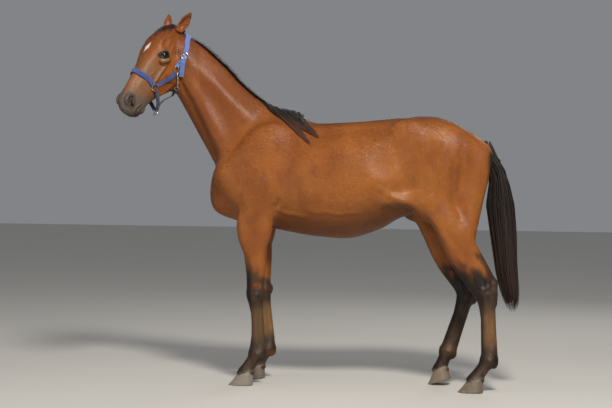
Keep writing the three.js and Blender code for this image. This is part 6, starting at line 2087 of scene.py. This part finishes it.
def add_stitches(rows):
    """Rows of thread, given as lines of points in millimetres."""
    tree, sizes, thread = stitch_tree()
    curve = bpy.data.curves.new("stitch_lines", "CURVE")
    curve.dimensions = "3D"
    for row in rows:
        spline = curve.splines.new("POLY")
        spline.points.add(len(row) - 1)
        spline.points.foreach_set("co", np.column_stack([place(row),
                                                         np.ones(len(row))]).astype(np.float32).ravel())
    lines = add_object("stitch_lines", curve)
    thread_finish = Material("pale_thread", Roughness=0.6)
    twist = thread_finish.noise(1400, 2)
    thread_finish.set(Base_Color=thread_finish.blend(twist, rgba(THREAD),
                                                     rgba(PALE_THREAD)))
    modifier = lines.modifiers.new("stitches", "NODES")
    modifier.node_group = tree
    for label, socket in sizes.items():
        modifier[socket.identifier] = socket.default_value
    modifier[thread.identifier] = thread_finish.material
    graph = bpy.context.evaluated_depsgraph_get()
    mesh = bpy.data.meshes.new_from_object(lines.evaluated_get(graph), depsgraph=graph)
    mesh.name = "stitching"
    bpy.data.objects.remove(lines)
    finish_piece(add_object("stitching", mesh), "webbing")


def stitch_rows(strap, width, at_start=True, reach=42.0, lines=3):
    """Rows of stitches along a strap's end where it is folded back over a ring."""
    points, _, across, _, thick = strap
    run = np.concatenate([[0], np.cumsum(np.linalg.norm(np.diff(points, axis=0), axis=1))])
    from_end = run if at_start else run[-1] - run
    inside = (from_end > 15) & (from_end < reach)
    rows = []
    for share in np.linspace(-0.78, 0.78, lines):
        row = points[inside] + across[inside] * (share * width / 2)
        rows.append(on_head(row, np.full(len(row), WEBBING_LIFT + thick + 0.25)))
    return rows


sewn = []
NOSEBAND = [*NOSEBAND_HALF, (320, 5, 0), *flip(NOSEBAND_HALF)[::-1]]
LAID_STRAPS = [
    # the nose and cheek straps take a darker blue than the crown straps
    ("halter_noseband", NOSEBAND, STRAP_WIDTH, 2.2, "deep_blue", (1, 1)),
    ("halter_cheek_left", CHEEK, STRAP_WIDTH, WEBBING_LIFT, "deep_blue", (1, 1)),
    ("halter_cheek_right", flip(CHEEK), STRAP_WIDTH, WEBBING_LIFT, "deep_blue", (1, 1)),
    ("halter_crown", CROWN, STRAP_WIDTH, CROWN_HEIGHTS, "bright", (0, 1)),
    ("halter_crown_tail", CROWN_TAIL, STRAP_WIDTH, TAIL_HEIGHTS, "bright", (0, 0)),
    ("halter_billet", BILLET, STRAP_WIDTH, WEBBING_LIFT, "bright", (1, 1)),
    ("halter_throat", THROAT, 20, WEBBING_LIFT, "navy", (1, 1)),
]
for name, path, width, height, tone, loops in LAID_STRAPS:
    laid = add_strap(name, path, width, height, tone, loops)
    for at_start in (True, False):
        if loops[not at_start] and tone != "navy":
            sewn += stitch_rows(laid, width, at_start)
add_strap("halter_chin_left", CHIN, 24, tone="navy", loops=(1, 1), facing=FACE_LEFT)
add_strap("halter_chin_right", flip(CHIN), 24, tone="navy", loops=(1, 1), facing=-FACE_LEFT)
add_strap("halter_jaw", JAW, 20, tone="navy", loops=(1, 0), facing=-FACE_FRONT)
add_stitches(sewn)

for side_name, l in (("left", 1), ("right", -1)):
    add_ring(f"halter_ring_{side_name}_wire", (335, -124, 51 * l), (326, -76, 55 * l), 18, 18, 3, 0.42)
    add_ring(f"halter_throat_ring_{side_name}_wire", (190, -160, 87 * l), (150, -132, 90 * l), 19, 12, 3, 1)
buckle_at, buckle_long, buckle_side, buckle_out = add_ring(
    "halter_buckle_wire", (112, -145, 117), (80, -132, 117), 17, 16, 2.1, 0.42, lift=5.6)
add_tube("halter_buckle_tongue",
         curve_through([buckle_at - buckle_long * 15 + buckle_out * 2, buckle_at + buckle_out * 2.5,
                        buckle_at + buckle_long * 17 + buckle_out * 3], 12),
         1.6, METAL, "hardware", closed=False, normal=buckle_out)
add_ring("halter_snap_loop_wire", (245, -237, 56), (258, -250, 46), 9, 12, 2.5, 0.6, lift=8)
add_ring("halter_chin_ring_wire", (417, -238, 0), (440, -254, 0), 14, 14, 3, 1, hangs=True)


def add_snap():
    """A bolt snap: eye, swivel collar, slim barrel with its thumb stud, and a narrow hook."""
    spine = curve_through(on_head(np.array(head_line_at([(203, -175, 83), (222, -204, 74), (238, -228, 62)])),
                                  np.full(3, 6.0)), 36)
    out = height_and_normal(spine, strap_height)[1]
    share = np.linspace(0, 1, 36)
    radii = np.interp(share, [0, 0.06, 0.12, 0.18, 0.24, 0.3, 0.62, 0.7, 0.88, 1.0],
                      [2.2, 4.2, 4.4, 2.6, 4.6, 4.0, 4.0, 4.8, 3.0, 2.0])
    add_tube("halter_snap_body", spine, radii, METAL, "hardware", "halter_snap", closed=False, normal=out)
    stud = np.array([spine[19] + out[19] * 3, spine[19] + out[19] * 8])
    add_tube("halter_snap_stud", curve_through(stud, 6), [1.6, 1.6, 1.6, 3, 3, 1.5], METAL, "hardware",
             closed=False,
             normal=FACE_AXIS)


add_snap()


# ---------------- camera, floor and light
CAMERA_AZIMUTH = math.radians(9.5)
CAMERA_DISTANCE, CAMERA_HEIGHT = 7357.0, 1030.0
CAMERA_DIP, CAMERA_ROLL = math.radians(-0.578), math.radians(0.6)
CAMERA_ASIDE = -259.7
SENSOR_WIDTH, LENS = 36.0, 81.65
FLOOR_HALF_WIDTH = 30.0         # metres


def add_camera():
    right = vec(math.cos(CAMERA_AZIMUTH), math.sin(CAMERA_AZIMUTH), 0)
    back = vec(math.sin(CAMERA_AZIMUTH), -math.cos(CAMERA_AZIMUTH), 0)
    at = back * CAMERA_DISTANCE + right * CAMERA_ASIDE + Z * CAMERA_HEIGHT
    data = bpy.data.cameras.new("camera")
    data.sensor_width, data.lens = SENSOR_WIDTH, LENS
    data.clip_end = 60
    camera = add_object("camera", data)
    camera.location = place(at)
    turn = Euler((math.pi / 2 + CAMERA_DIP, 0, CAMERA_AZIMUTH)).to_matrix() @ Matrix.Rotation(CAMERA_ROLL, 3,
                                                                                              "Z")
    camera.rotation_euler = turn.to_euler()
    bpy.context.scene.camera = camera


# name, place, size, power, colour, and the place it shines on
LIGHTS = [
    ("sun_box", (1.6, -4.2, 5.2), 1.2, 350, (1.0, 0.95, 0.87), (0.1, 0.0, 1.05)),
    ("front_fill", (-4.5, -4.0, 2.2), 3.0, 36, (0.95, 0.97, 1.0), (-0.4, 0.0, 1.2)),
    ("back_rim", (1.5, 4.5, 3.6), 2.4, 34, (1.0, 0.98, 0.95), (0.0, 0.0, 1.1)),
]
SKY, SKY_STRENGTH = (0.86, 0.89, 0.93, 1), 0.26


def add_light(name, position, size, power, colour, target):
    data = bpy.data.lights.new(name, "AREA")
    data.shape, data.size, data.energy, data.color = "DISK", size, power, colour
    light = add_object(name, data)
    light.location = position
    light.rotation_euler = (Vector(target) - Vector(position)).to_track_quat("-Z", "Y").to_euler()


def add_floor():
    m = Material("studio_floor", Roughness=0.9)
    m.set(Base_Color=m.blend(m.noise(0.8, 2), rgba(FLOOR), rgba(PALE_FLOOR)))
    mesh = bpy.data.meshes.new("floor")
    half = FLOOR_HALF_WIDTH
    mesh.from_pydata([(-half, -half, 0), (half, -half, 0), (half, half, 0), (-half, half, 0)], [],
                     [(0, 1, 2, 3)])
    mesh.materials.append(m.material)
    add_object("floor", mesh)


def add_world():
    world = bpy.data.worlds.new("pale_studio")
    world.use_nodes = True
    background = world.node_tree.nodes["Background"]
    background.inputs["Color"].default_value = SKY
    background.inputs["Strength"].default_value = SKY_STRENGTH
    bpy.context.scene.world = world
    bpy.context.scene.view_settings.view_transform = "Standard"


add_camera()
add_floor()
add_world()
for light in LIGHTS:
    add_light(*light)
